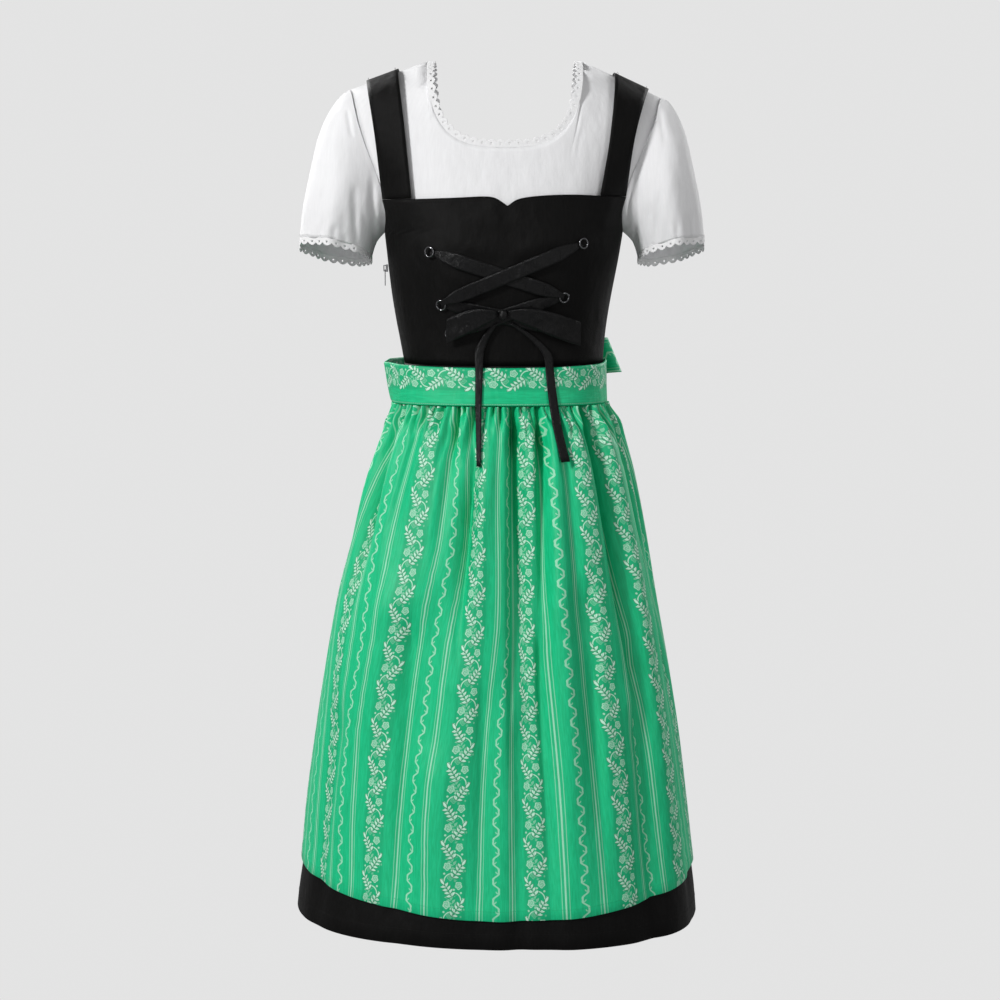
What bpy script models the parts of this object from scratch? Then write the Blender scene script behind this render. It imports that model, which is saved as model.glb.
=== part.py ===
"""Dirndl: a white puff-sleeved blouse, a black laced pinafore dress and a green apron with a bow behind.

Metres, +Z up. The front faces -Y and the wearer's left is +X. The origin lies midway between the
shoulders, at the height where they hold the garment up.
"""

import math
from collections import namedtuple

import bmesh
import bpy
from mathutils import Vector

# ------------------------------------------------------------------ cloth and gaps
SEAM_GAP = 0.0006
SHOULDER_SEAM_GAP = 0.0014
BLOUSE_CLOTH = 0.0014
PINAFORE_CLOTH = 0.0020
SKIRT_CLOTH = 0.0014
APRON_CLOTH = 0.0014
BAND_CLOTH = 0.0026
RIBBON_CLOTH = 0.0010
LACE_CLOTH = 0.0010
BLOUSE_LIFT = -0.0056  # how far the blouse lies inside the pinafore's cloth

# ------------------------------------------------------------------ the general figure
NECK_POINT_HEIGHT = 0.005
NECK_HALF_WIDTH = 0.096
SHOULDER_SLOPE = {1: 0.47, -1: 0.37}  # fall of the shoulder line on the wearer's left and right
SHOULDER_ROLL = 0.045  # radius of the cloth's turn over the shoulder
SQUARENESS = 0.05  # how much fuller than an ellipse a level section is at its corners
BUST_RISE, BUST_ACROSS, BUST_HEIGHT = 0.008, 0.066, -0.236
BUST_WIDTH, BUST_TALL = 0.048, 0.052

Section = namedtuple("Section", "height right left front back")
FIGURE = (
    Section(-0.420, 0.1280, 0.1240, 0.091, 0.082),
    Section(-0.367, 0.1235, 0.1205, 0.088, 0.078),
    Section(-0.320, 0.1325, 0.1240, 0.094, 0.082),
    Section(-0.280, 0.1390, 0.1310, 0.102, 0.087),
    Section(-0.240, 0.1435, 0.1390, 0.106, 0.091),
    Section(-0.210, 0.1470, 0.1440, 0.106, 0.094),
    Section(-0.180, 0.1560, 0.1530, 0.103, 0.096),
    Section(-0.150, 0.1720, 0.1700, 0.099, 0.097),
    Section(-0.100, 0.1960, 0.1980, 0.092, 0.094),
    Section(-0.050, 0.2060, 0.2100, 0.083, 0.088),
    Section(0.010, 0.2120, 0.2160, 0.074, 0.080),
)
WAIST = -0.367
UNDERARM = -0.212

# ------------------------------------------------------------------ blouse
BLOUSE_HEM = -0.300
BLOUSE_UNDERARM = -0.206
NECKLINE_FRONT_DEPTH, NECKLINE_BACK_DEPTH, NECKLINE_POWER = 0.113, 0.122, 3.0
NECK_LACE_WIDTH, NECK_SCALLOP_NOTCH, NECK_SCALLOPS = 0.0100, 0.0035, 52
CUFF_LACE_WIDTH, CUFF_SCALLOP_NOTCH, CUFF_SCALLOPS = 0.0090, 0.0035, 28
ArmholeRow = namedtuple("ArmholeRow", "share height angle")
ARMHOLE = (
    ArmholeRow(0.00, BLOUSE_UNDERARM, 90.0),
    ArmholeRow(0.12, -0.201, 78.0),
    ArmholeRow(0.28, -0.182, 67.0),
    ArmholeRow(0.50, -0.138, 59.5),
    ArmholeRow(0.70, -0.096, 59.0),
    ArmholeRow(0.86, -0.062, 61.5),
    ArmholeRow(1.00, -0.036, 64.5),
)
SleeveRow = namedtuple("SleeveRow", "share outer_x outer_z inner_x inner_z half_depth")
SLEEVE = (
    SleeveRow(0.00, 0.190, -0.040, 0.1490, -0.208, 0.052),
    SleeveRow(0.13, 0.204, -0.043, 0.1530, -0.212, 0.057),
    SleeveRow(0.27, 0.219, -0.061, 0.1560, -0.215, 0.062),
    SleeveRow(0.43, 0.227, -0.097, 0.1585, -0.219, 0.065),
    SleeveRow(0.62, 0.238, -0.142, 0.1605, -0.224, 0.065),
    SleeveRow(0.82, 0.248, -0.186, 0.1625, -0.229, 0.063),
    SleeveRow(1.00, 0.250, -0.219, 0.1640, -0.235, 0.059),
)
SLEEVE_REACH = {1: 0.985, -1: 1.015}  # the wearer's right sleeve stands out a little further
SLEEVE_COLUMNS = 28
SLEEVE_HEM_TILT = 0.011  # how much lower than its middle the hem hangs behind
SLEEVE_FOLDS, SLEEVE_FOLD_DEPTH = 7, 0.0028

# ------------------------------------------------------------------ pinafore bodice
EdgePoint = namedtuple("EdgePoint", "across height")
BODICE_TOP = (
    EdgePoint(-0.1120, -0.1685),
    EdgePoint(-0.0880, -0.1680),
    EdgePoint(-0.0640, -0.1675),
    EdgePoint(-0.0400, -0.1665),
    EdgePoint(-0.0155, -0.1650),
    EdgePoint(-0.0060, -0.1705),
    EdgePoint(0.0030, -0.1770),
    EdgePoint(0.0090, -0.1725),
    EdgePoint(0.0160, -0.1680),
    EdgePoint(0.0350, -0.1655),
    EdgePoint(0.0550, -0.1640),
    EdgePoint(0.0850, -0.1630),
    EdgePoint(0.1140, -0.1645),
)
BODICE_BACK_TOP, BODICE_BACK_DIP = -0.140, 0.012
STRAP_FOOT = {1: -0.1650, -1: -0.1685}  # height of the seam between strap and bodice front
StrapRow = namedtuple("StrapRow", "share inner outer")
STRAPS = {  # share 0 at the front seam, 0.5 on the shoulder, 1 at the back seam
    1: (
        StrapRow(0.0, 0.1140, 0.1455),
        StrapRow(0.2, 0.1260, 0.1545),
        StrapRow(0.5, 0.1330, 0.1760),
        StrapRow(0.8, 0.1200, 0.1640),
        StrapRow(1.0, 0.1060, 0.1500),
    ),
    -1: (
        StrapRow(0.0, 0.1120, 0.1475),
        StrapRow(0.2, 0.1190, 0.1550),
        StrapRow(0.5, 0.1300, 0.1690),
        StrapRow(0.8, 0.1190, 0.1600),
        StrapRow(1.0, 0.1060, 0.1480),
    ),
}

# ------------------------------------------------------------------ skirt and apron
SKIRT_NEST = 0.0070  # how far the black skirt lies inside the apron's line
HANG = (
    Section(-1.066, 0.2680, 0.2470, 0.1950, 0.1980),
    Section(-1.030, 0.2640, 0.2440, 0.1920, 0.1950),
    Section(-0.990, 0.2580, 0.2390, 0.1870, 0.1900),
    Section(-0.912, 0.2500, 0.2300, 0.1800, 0.1820),
    Section(-0.827, 0.2380, 0.2195, 0.1725, 0.1740),
    Section(-0.727, 0.2230, 0.2040, 0.1630, 0.1640),
    Section(-0.654, 0.2100, 0.1920, 0.1540, 0.1550),
    Section(-0.586, 0.1940, 0.1810, 0.1445, 0.1450),
    Section(-0.523, 0.1800, 0.1690, 0.1340, 0.1340),
    Section(-0.485, 0.1680, 0.1600, 0.1260, 0.1250),
    Section(-0.440, 0.1500, 0.1450, 0.1110, 0.1080),
    Section(-0.416, 0.1370, 0.1265, 0.0985, 0.0945),
    Section(-0.367, 0.1305, 0.1275, 0.0950, 0.0850),
)
SKIRT_HEM, SKIRT_HEM_TILT = -1.0565, 0.0045
APRON_TOP = -0.4160
APRON_HEM_FRONT, APRON_HEM_RISE = -1.0220, 0.0300
APRON_HALF_WRAP = 104.0  # degrees from the middle of the front to each side edge
APRON_GATHERS, APRON_GATHER_DEPTH = 34, 0.0020
BACK_GATHERS, BACK_GATHER_DEPTH = 22, 0.0018
GATHER_END = -0.540  # height where the small gathers have opened out
APRON_SHARES = (0, 0.016, 0.038, 0.066, 0.10, 0.145, 0.20, 0.27, 0.35, 0.44, 0.54, 0.65, 0.77, 0.89, 1)
SKIRT_SHARES = (0, 0.07, 0.13, 0.20, 0.29, 0.40, 0.55, 0.72, 0.88, 1)
SKIRT_FRONT_COLUMNS = 36
Fold = namedtuple("Fold", "angle_top angle_hem half_width depth start end")
FOLD_OPENS_OVER = 0.060  # a trough reaches its depth over this height, and fades over the rest of its length
FOLD_FADES_FROM = 1.6
FOLDS = (  # troughs of the hanging cloth: angles and widths in degrees, heights where each begins and ends
    Fold(-79.0, -76.0, 6.5, 0.0080, -0.400, -1.200),
    Fold(-61.0, -54.0, 5.5, 0.0110, -0.400, -0.720),
    Fold(-41.0, -38.0, 4.5, 0.0045, -0.400, -0.600),
    Fold(-27.0, -30.0, 4.5, 0.0040, -0.400, -0.560),
    Fold(-33.0, -30.0, 9.0, 0.0050, -0.640, -1.200),
    Fold(-13.0, -18.0, 5.0, 0.0085, -0.400, -0.700),
    Fold(4.0, 11.0, 5.5, 0.0120, -0.400, -1.250),
    Fold(17.0, 17.0, 4.0, 0.0070, -0.400, -0.560),
    Fold(29.0, 31.0, 4.5, 0.0055, -0.400, -0.620),
    Fold(34.0, 36.0, 9.0, 0.0045, -0.700, -1.200),
    Fold(44.0, 51.0, 5.5, 0.0140, -0.400, -0.860),
    Fold(64.0, 66.0, 5.5, 0.0055, -0.400, -0.700),
    Fold(79.0, 78.0, 6.5, 0.0080, -0.400, -1.200),
    Fold(101.0, 102.0, 6.5, 0.0100, -0.380, -1.150),
    Fold(122.0, 120.0, 6.5, 0.0090, -0.380, -1.250),
    Fold(141.0, 143.0, 6.0, 0.0120, -0.380, -1.100),
    Fold(162.0, 161.0, 6.5, 0.0100, -0.380, -1.300),
    Fold(183.0, 181.0, 6.5, 0.0090, -0.380, -1.150),
    Fold(204.0, 203.0, 6.0, 0.0120, -0.380, -1.300),
    Fold(224.0, 226.0, 6.5, 0.0090, -0.380, -1.100),
    Fold(243.0, 242.0, 6.5, 0.0110, -0.380, -1.250),
    Fold(261.0, 262.0, 6.0, 0.0090, -0.380, -1.150),
)

# ------------------------------------------------------------------ apron band, ties and back bow
BAND = (
    Section(-0.4152, 0.1390, 0.1255, 0.0985, 0.0960),
    Section(-0.3640, 0.1435, 0.1245, 0.0912, 0.0860),
)
BAND_MIDDLE = -0.3920
KNOT_HALF_ANGLE = 6.2  # degrees each side of the middle of the back that the knot takes up
TIE_HALF_HEIGHT_AT_KNOT = 0.0130
BOW_KNOT_CENTRE, BOW_KNOT_HALF = (0.0, 0.1025, -0.3920), (0.0165, 0.0140, 0.0200)
TIE_RISE_AT_KNOT = 0.0080  # how far the ties leave the waist where they go into the knot
BowRow = namedtuple("BowRow", "across behind height half_height")
BOW_LOOP = (
    BowRow(0.0142, 0.1080, -0.3905, 0.0095),
    BowRow(0.0400, 0.1260, -0.3820, 0.0175),
    BowRow(0.0750, 0.1330, -0.3740, 0.0215),
    BowRow(0.1100, 0.1230, -0.3670, 0.0225),
    BowRow(0.1350, 0.1040, -0.3630, 0.0220),
    BowRow(0.1440, 0.0860, -0.3620, 0.0215),
    BowRow(0.1380, 0.0800, -0.3620, 0.0215),
    BowRow(0.1200, 0.0880, -0.3640, 0.0215),
    BowRow(0.0900, 0.1040, -0.3690, 0.0210),
    BowRow(0.0550, 0.1110, -0.3780, 0.0185),
    BowRow(0.0300, 0.1075, -0.3855, 0.0150),
    BowRow(0.0142, 0.1035, -0.3905, 0.0095),
)
LOOP_REACH = {1: 0.95, -1: 0.84}  # the right loop lies closer in
LOOP_LEAN, LOOP_LEANS_OVER = 0.0090, 0.060  # how far its lower edge reaches out, and from where
TAIL_ANGLE_TOP, TAIL_ANGLE_END = 4.4, 14.0  # degrees from the middle of the back
TAIL_TOP, TAIL_END = -0.4096, {1: -0.7950, -1: -0.8250}
TAIL_HALF_WIDTH, TAIL_LIFT, TAIL_RISE_AT_KNOT = 0.0215, 0.0050, 0.0035

# ------------------------------------------------------------------ front lacing
RING_OUTER, RING_WIRE = 0.0136, 0.0022
Ring = namedtuple("Ring", "across height lift")
# By pair and side; the lift is from the bodice's middle to the wire's, and leaves room for a ribbon.
RINGS = {
    (1, 1): Ring(0.0910, -0.2210, 0.0043),
    (1, -1): Ring(-0.0880, -0.2310, 0.0043),
    (2, 1): Ring(0.0690, -0.2840, 0.0043),
    (2, -1): Ring(-0.0750, -0.2930, 0.0043),
    (3, 1): Ring(0.0650, -0.3230, 0.0032),
    (3, -1): Ring(-0.0650, -0.3280, 0.0032),
}
RIBBON_WIDTH, RIBBON_WIDTH_IN_RING = 0.0170, 0.0060
RIBBON_UNDER_LIFT = 0.0023
RIBBON_OVER_RING = 0.0025  # from the middle of a ring's wire to the ribbon that passes over it
RIBBON_UNDER_STATIONS = (0.001, 0.007, 0.014, 0.030)  # from the middle of the first ring
RIBBON_OVER_STATIONS = (0.024, 0.0125, 0.0082, 0.0042)  # from the middle of the second ring
RIBBON_TUCK, RIBBON_TUCK_DROP = 0.0016, 0.0012
LACING = (  # from under one ring to over the next one's wire and down into it; lift where two bands cross
    ("lacing_upper_under", (1, -1), (2, 1), 0.0034),
    ("lacing_upper_over", (1, 1), (2, -1), 0.0056),
    ("lacing_lower_under", (2, -1), (3, 1), 0.0026),
    ("lacing_lower_over", (2, 1), (3, -1), 0.0046),
)
FRONT_KNOT, FRONT_KNOT_HALF, FRONT_KNOT_LIFT = (-0.002, -0.3055), (0.0065, 0.0038, 0.0080), 0.0090
LoopRow = namedtuple("LoopRow", "across height half_height lift")
FRONT_LOOP = {  # out along the outer layer and back along the inner one
    1: (
        LoopRow(0.0040, -0.3045, 0.0040, 0.0105),
        LoopRow(0.0220, -0.3070, 0.0105, 0.0140),
        LoopRow(0.0460, -0.3150, 0.0145, 0.0135),
        LoopRow(0.0700, -0.3240, 0.0150, 0.0120),
        LoopRow(0.0840, -0.3290, 0.0140, 0.0098),
        LoopRow(0.0700, -0.3240, 0.0140, 0.0082),
        LoopRow(0.0440, -0.3150, 0.0130, 0.0080),
        LoopRow(0.0220, -0.3075, 0.0090, 0.0082),
        LoopRow(0.0040, -0.3045, 0.0040, 0.0082),
    ),
    -1: (
        LoopRow(0.0080, -0.3045, 0.0040, 0.0105),
        LoopRow(0.0240, -0.3080, 0.0105, 0.0140),
        LoopRow(0.0400, -0.3140, 0.0145, 0.0135),
        LoopRow(0.0560, -0.3210, 0.0150, 0.0118),
        LoopRow(0.0650, -0.3250, 0.0140, 0.0098),
        LoopRow(0.0560, -0.3210, 0.0140, 0.0082),
        LoopRow(0.0400, -0.3140, 0.0130, 0.0080),
        LoopRow(0.0240, -0.3080, 0.0090, 0.0082),
        LoopRow(0.0080, -0.3045, 0.0040, 0.0082),
    ),
}
TailRow = namedtuple("TailRow", "across height half_width lift")
FRONT_TAIL = {  # the lift is from the middle of the bodice, then of the band, then of the apron beneath
    1: (
        TailRow(0.0060, -0.3150, 0.0025, 0.0064),
        TailRow(0.0270, -0.3290, 0.0040, 0.0052),
        TailRow(0.0440, -0.3450, 0.0050, 0.0048),
        TailRow(0.0500, -0.3560, 0.0050, 0.0068),
        TailRow(0.0515, -0.3660, 0.0048, 0.0034),
        TailRow(0.0540, -0.3900, 0.0050, 0.0030),
        TailRow(0.0565, -0.4110, 0.0052, 0.0034),
        TailRow(0.0590, -0.4280, 0.0054, 0.0046),
        TailRow(0.0640, -0.4500, 0.0058, 0.0044),
        TailRow(0.0725, -0.4800, 0.0060, 0.0040),
    ),
    -1: (
        TailRow(0.0100, -0.3150, 0.0025, 0.0064),
        TailRow(0.0200, -0.3280, 0.0040, 0.0052),
        TailRow(0.0285, -0.3440, 0.0052, 0.0048),
        TailRow(0.0300, -0.3560, 0.0050, 0.0068),
        TailRow(0.0302, -0.3660, 0.0046, 0.0034),
        TailRow(0.0306, -0.3900, 0.0042, 0.0030),
        TailRow(0.0312, -0.4110, 0.0038, 0.0034),
        TailRow(0.0315, -0.4280, 0.0036, 0.0046),
        TailRow(0.0320, -0.4560, 0.0032, 0.0044),
        TailRow(0.0320, -0.4850, 0.0026, 0.0040),
    ),
}

# ------------------------------------------------------------------ side zip
ZIP_TOP, ZIP_END = -0.2520, -0.3655
ZIP_HALF_WIDTH, ZIP_THICK = 0.0025, 0.0018
ZIP_SEAM_HALF_GAP = 0.0030
SLIDER_HEIGHT = -0.2510  # the middle of the slider
SLIDER_WIDE, SLIDER_TALL, SLIDER_THICK = 0.0070, 0.0090, 0.0026
BRIDGE_WIDE, BRIDGE_WALL, BRIDGE_ROOM, BRIDGE_TALL = 0.0024, 0.0012, 0.0018, 0.0054
TAB_WIDE, TAB_THICK, TAB_LONG = 0.0052, 0.0009, 0.0200
TAB_WINDOW_WIDE, TAB_WINDOW_TALL, TAB_SLACK = 0.0032, 0.0046, 0.0003

FRONT, BACK = "front", "back"
SIDES = (("left", 1), ("right", -1))


# ------------------------------------------------------------------ reading the tables
def between(rows, place):
    """The row at any place along a table's first column, on a smooth curve through its rows."""
    place = min(max(place, rows[0][0]), rows[-1][0])
    after = next(i for i in range(1, len(rows)) if place <= rows[i][0])
    previous, low = rows[max(after - 2, 0)], rows[after - 1]
    high, following = rows[after], rows[min(after + 1, len(rows) - 1)]
    span = high[0] - low[0]
    t = (place - low[0]) / span
    values = [place]
    for a, b, c, d in zip(previous[1:], low[1:], high[1:], following[1:]):
        rise_low = (c - a) / (high[0] - previous[0]) * span
        rise_high = (d - b) / (following[0] - low[0]) * span
        values.append(
            b * (1 + 2 * t) * (1 - t) ** 2
            + rise_low * t * (1 - t) ** 2
            + c * t * t * (3 - 2 * t)
            + rise_high * t * t * (t - 1)
        )
    return type(low)(*values)


def mix(a, b, share):
    return a + (b - a) * share


def ease(share):
    share = min(max(share, 0.0), 1.0)
    return share * share * (3 - 2 * share)


def fullness(angle):
    return 1 + SQUARENESS * math.sin(2 * angle) ** 2


def level_point(rows, height, angle, lift):
    """A point of a level section; the angle runs from the middle of the front towards the wearer's left."""
    section = between(rows, height)
    width = section.left if math.sin(angle) > 0 else section.right
    depth = section.front if math.cos(angle) > 0 else section.back
    out_x, out_y = (width + lift) * fullness(angle), (depth + lift) * fullness(angle)
    return Vector((out_x * math.sin(angle), -out_y * math.cos(angle), height))


# ------------------------------------------------------------------ the figure's surface
def shoulder_height(x):
    slope = SHOULDER_SLOPE[1 if x > 0 else -1]
    return NECK_POINT_HEIGHT - slope * max(abs(x) - NECK_HALF_WIDTH, 0)


def drop_of(below):
    """How far a point that lies this far down the cloth from the shoulder line is beneath that line."""
    if below < SHOULDER_ROLL * math.pi / 2:
        return SHOULDER_ROLL * (1 - math.cos(below / SHOULDER_ROLL))
    return below - SHOULDER_ROLL * (math.pi / 2 - 1)


def below_of(drop):
    if drop < SHOULDER_ROLL:
        return SHOULDER_ROLL * math.acos(1 - max(drop, 0) / SHOULDER_ROLL)
    return drop + SHOULDER_ROLL * (math.pi / 2 - 1)


def angle_at(rows, x, height):
    """The angle, on the front, at which a level section is this far across."""
    section = between(rows, height)
    width = section.left if x > 0 else section.right
    angle = 0.0
    for _ in range(12):
        angle = math.asin(min(max(x / (width * fullness(angle)), -1.0), 1.0))
    return angle


def spot_at(angle, height):
    """The angle and the distance down the cloth of a point that is given by its angle and height."""
    x = level_point(FIGURE, height, angle, 0.0).x
    return Vector((angle, below_of(shoulder_height(x) - height)))


def place(face, x, height):
    """The angle and the distance down the cloth of a point that is given as seen from the front."""
    angle = angle_at(FIGURE, x, height)
    if face == BACK:
        angle = math.pi - angle
    return Vector((angle, below_of(shoulder_height(x) - height)))


def body_point(spot, lift=0.0):
    """The point on the figure at a spot, which is an angle and a distance down the cloth."""
    angle, below = spot
    roll = min(below / SHOULDER_ROLL, math.pi / 2)
    height = -below
    for _ in range(6):
        point = level_point(FIGURE, height, angle, lift)
        height = shoulder_height(point.x) - drop_of(below)
    if math.cos(angle) > 0:
        across = (abs(point.x) - BUST_ACROSS) / BUST_WIDTH
        up = (height - BUST_HEIGHT) / BUST_TALL
        point.y -= BUST_RISE * math.exp(-across * across - up * up)
    return Vector((point.x, point.y * math.sin(roll), height + lift * math.cos(roll)))


def seam_angle(height, side, gap):
    """The angle of a side seam's edge, set back from the seam by this gap."""
    section = between(FIGURE, height)
    return side * (math.pi / 2 - gap / min(section.front, section.back))


def on_back(spot):
    return Vector((math.pi - spot[0], spot[1]))


def patch(bottom, top, start, end):
    """Rows of spots that fill four edges, each a list of spots; bottom and top run from start to end."""
    columns, rows = len(bottom) - 1, len(start) - 1
    grid = []
    for j in range(rows + 1):
        v = j / rows
        row = []
        for i in range(columns + 1):
            u = i / columns
            corners = mix(mix(bottom[0], bottom[-1], u), mix(top[0], top[-1], u), v)
            row.append(mix(bottom[i], top[i], v) + mix(start[j], end[j], u) - corners)
        grid.append(row)
    return grid


# ------------------------------------------------------------------ making objects
def material(name, colour, roughness, metallic=0.0):
    made = bpy.data.materials.new(name)
    made.use_nodes = True
    shader = made.node_tree.nodes["Principled BSDF"]
    shader.inputs["Base Color"].default_value = (*colour, 1.0)
    shader.inputs["Roughness"].default_value = roughness
    shader.inputs["Metallic"].default_value = metallic
    return made


def add_object(name, mesh, finish):
    made = bpy.data.objects.new(name, mesh)
    mesh.materials.append(finish)
    mesh.shade_smooth()
    dirndl.objects.link(made)
    return made


def wall(name, grid, thickness, finish, closed=False):
    """Cloth of an even thickness about a grid of points; a closed grid joins its last column and first."""
    mesh = bpy.data.meshes.new(name)
    columns = len(grid[0])
    steps = columns if closed else columns - 1
    faces = []
    for j in range(len(grid) - 1):
        for i in range(steps):
            after = (i + 1) % columns
            here, over = j * columns, (j + 1) * columns
            faces.append((here + i, here + after, over + after, over + i))
    mesh.from_pydata([point for row in grid for point in row], [], faces)
    made = add_object(name, mesh, finish)
    solidify = made.modifiers.new("cloth thickness", "SOLIDIFY")
    solidify.thickness = thickness
    solidify.offset = 0.0
    return made


def body_wall(name, spots, lift, thickness, finish):
    return wall(name, [[body_point(spot, lift) for spot in row] for row in spots], thickness, finish)


def soft_block(name, centre, half_size, finish):
    """A rounded knot: a box smoothed by subdivision."""
    mesh = bpy.data.meshes.new(name)
    shape = bmesh.new()
    bmesh.ops.create_cube(shape, size=2.0)
    for vert in shape.verts:
        vert.co = Vector(centre) + Vector(a * b for a, b in zip(vert.co, half_size))
    shape.to_mesh(mesh)
    shape.free()
    made = add_object(name, mesh, finish)
    smooth = made.modifiers.new("soft form", "SUBSURF")
    smooth.levels = smooth.render_levels = 2
    return made


# ------------------------------------------------------------------ blouse
def armhole_spot(side, share):
    """A spot on the front of the blouse's armhole, from the underarm (0) to the shoulder (1)."""
    row = between(ARMHOLE, share)
    angle = side * math.radians(row.angle)
    x = level_point(FIGURE, row.height, angle, 0.0).x
    below = below_of(shoulder_height(x) - row.height)
    near_top = ease((share - 0.8) / 0.2)
    return Vector((angle - side * SEAM_GAP / 2 / abs(x), mix(below, SHOULDER_SEAM_GAP / 2, near_top)))


def neckline(face, share, inset=0.0):
    """Across and height of the neckline, from the right neck point (0) to the left (1), moved inwards."""
    depth = NECKLINE_FRONT_DEPTH if face == FRONT else NECKLINE_BACK_DEPTH
    turn = math.pi * (1 - share)
    half = NECK_HALF_WIDTH - inset
    x = half * math.copysign(abs(math.cos(turn)) ** (2 / NECKLINE_POWER), math.cos(turn))
    fall = (depth - inset) * math.sin(turn) ** (2 / NECKLINE_POWER)
    return x, NECK_POINT_HEIGHT - fall


def neck_spot(face, share, inset=0.0):
    x, height = neckline(face, share, inset)
    spot = place(face, x, height)
    return Vector((spot[0], max(spot[1], SHOULDER_SEAM_GAP / 2)))


def blouse_panel(face):
    shoulder_columns, neck_columns, side_rows, armhole_rows = 2, 14, 2, 7
    columns = 2 * shoulder_columns + neck_columns
    ends = []
    for side in (-1, 1):
        heights = [mix(BLOUSE_HEM, BLOUSE_UNDERARM, j / side_rows) for j in range(side_rows)]
        rows = [spot_at(seam_angle(height, side, SEAM_GAP / 2), height) for height in heights]
        rows += [armhole_spot(side, j / armhole_rows) for j in range(armhole_rows + 1)]
        ends.append(rows)
    tips = [rows[-1] for rows in ends]
    necks = [neck_spot(FRONT, 0.0), neck_spot(FRONT, 1.0)]
    top = [mix(tips[0], necks[0], i / shoulder_columns) for i in range(shoulder_columns)]
    for i in range(neck_columns + 1):
        spot = neck_spot(face, i / neck_columns)
        top.append(on_back(spot) if face == BACK else spot)
    top += [mix(necks[1], tips[1], (i + 1) / shoulder_columns) for i in range(shoulder_columns)]
    bottom = [mix(ends[0][0], ends[1][0], i / columns) for i in range(columns + 1)]
    spots = patch(bottom, top, ends[0], ends[1])
    if face == BACK:
        spots = [[on_back(spot) for spot in reversed(row)] for row in spots]
    body_wall("blouse_" + face, spots, BLOUSE_LIFT, BLOUSE_CLOTH, white_cotton)


def armhole_loop(side, columns):
    """Points round the armhole, from the underarm up the front and down the back."""
    loop = []
    for i in range(columns):
        turn = 2 * i / columns
        spot = armhole_spot(side, turn if turn <= 1 else 2 - turn)
        loop.append(body_point(on_back(spot) if turn > 1 else spot, BLOUSE_LIFT))
    return loop


def sleeve_point(side, share, turn):
    """A point of the sleeve: share is along it from the armhole, turn round it from the underarm."""
    row = between(SLEEVE, share)
    reach = SLEEVE_REACH[side]
    outer = Vector((row.outer_x * reach, 0.0, row.outer_z))
    inner = Vector((row.inner_x, 0.0, row.inner_z))
    angle = 2 * math.pi * turn
    fold = SLEEVE_FOLD_DEPTH * math.cos(SLEEVE_FOLDS * angle + 1.0) * ease(share * 1.2 - 0.1)
    swell = 1 + fold / row.half_depth
    keep_inside = ease(2 * abs(turn - 0.5) * 2.2 - 1.2)  # the side next to the bodice stays smooth
    swell = mix(swell, 1.0, keep_inside)
    point = (outer + inner) / 2 - (outer - inner) / 2 * math.cos(angle) * swell
    point.y = -row.half_depth * math.sin(angle) * swell
    point.z -= SLEEVE_HEM_TILT * point.y / row.half_depth * ease(share)
    return Vector((side * point.x, point.y, point.z))


def sleeve(name, side):
    loop = armhole_loop(side, SLEEVE_COLUMNS)
    shares = (0.0, 0.08, 0.20, 0.36, 0.54, 0.76, 1.0)
    grid = []
    for share in shares:
        ring = []
        for i, start in enumerate(loop):
            own = sleeve_point(side, share, i / SLEEVE_COLUMNS)
            seam = start + Vector((side * 0.0022, 0, 0))
            ring.append(mix(seam, own, ease(share / 0.36)) if share else seam)
        grid.append(ring)
    wall("sleeve_" + name, grid, BLOUSE_CLOTH, white_cotton, closed=True)


def cuff_lace(name, side):
    columns = 2 * CUFF_SCALLOPS
    top, edge = [], []
    for i in range(columns):
        hem = sleeve_point(side, 1.0, i / columns)
        width = CUFF_LACE_WIDTH - CUFF_SCALLOP_NOTCH * (i % 2)
        top.append(hem - Vector((0, 0, SEAM_GAP)))
        edge.append(hem - Vector((0, 0, SEAM_GAP + width)))
    wall("cuff_lace_" + name, [top, edge], LACE_CLOTH, white_lace, closed=True)


def neck_lace():
    half = NECK_SCALLOPS  # columns on each of the front and the back
    outer, edge = [], []
    for i in range(2 * half):
        face = FRONT if i < half else BACK
        share = i / half if i < half else 2 - i / half
        width = NECK_LACE_WIDTH - NECK_SCALLOP_NOTCH * (i % 2)
        for row, inset in ((outer, 2 * SEAM_GAP), (edge, 2 * SEAM_GAP + width)):
            x, height = neckline(face, share, inset)
            spot = place(face, x, height)
            if i % half == 0:
                spot = Vector((spot[0], 0.0))
            row.append(body_point(spot, BLOUSE_LIFT))
    wall("neck_lace", [outer, edge], LACE_CLOTH, white_lace, closed=True)


# ------------------------------------------------------------------ pinafore bodice
def zip_gap(height, side):
    """Half the opening between front and back at a side seam: wider on the right, where the zip runs."""
    if side > 0:
        return SEAM_GAP / 2
    return mix(ZIP_SEAM_HALF_GAP, SEAM_GAP / 2, ease((height - ZIP_TOP) / 0.020))


def bodice_side_edge(face, side):
    """Angles and heights from the waist up the side seam, then round the armhole to the strap's corner."""
    heights = (WAIST, -0.334, -0.295, ZIP_TOP, -0.234, UNDERARM)
    edge = [Vector((seam_angle(height, side, zip_gap(height, side)), height)) for height in heights]
    share = 0.0 if face == FRONT else 1.0
    foot = STRAP_FOOT[side] if face == FRONT else BODICE_BACK_TOP
    corner = Vector((angle_at(FIGURE, side * between(STRAPS[side], share).outer, foot), foot))
    start = edge[-1]
    for share_along, share_up in ((0.42, 0.17), (0.74, 0.40), (0.92, 0.68), (1.0, 1.0)):
        angle = mix(start[0], corner[0], share_along)
        edge.append(Vector((angle, mix(start[1], corner[1], share_up))))
    return edge


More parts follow.
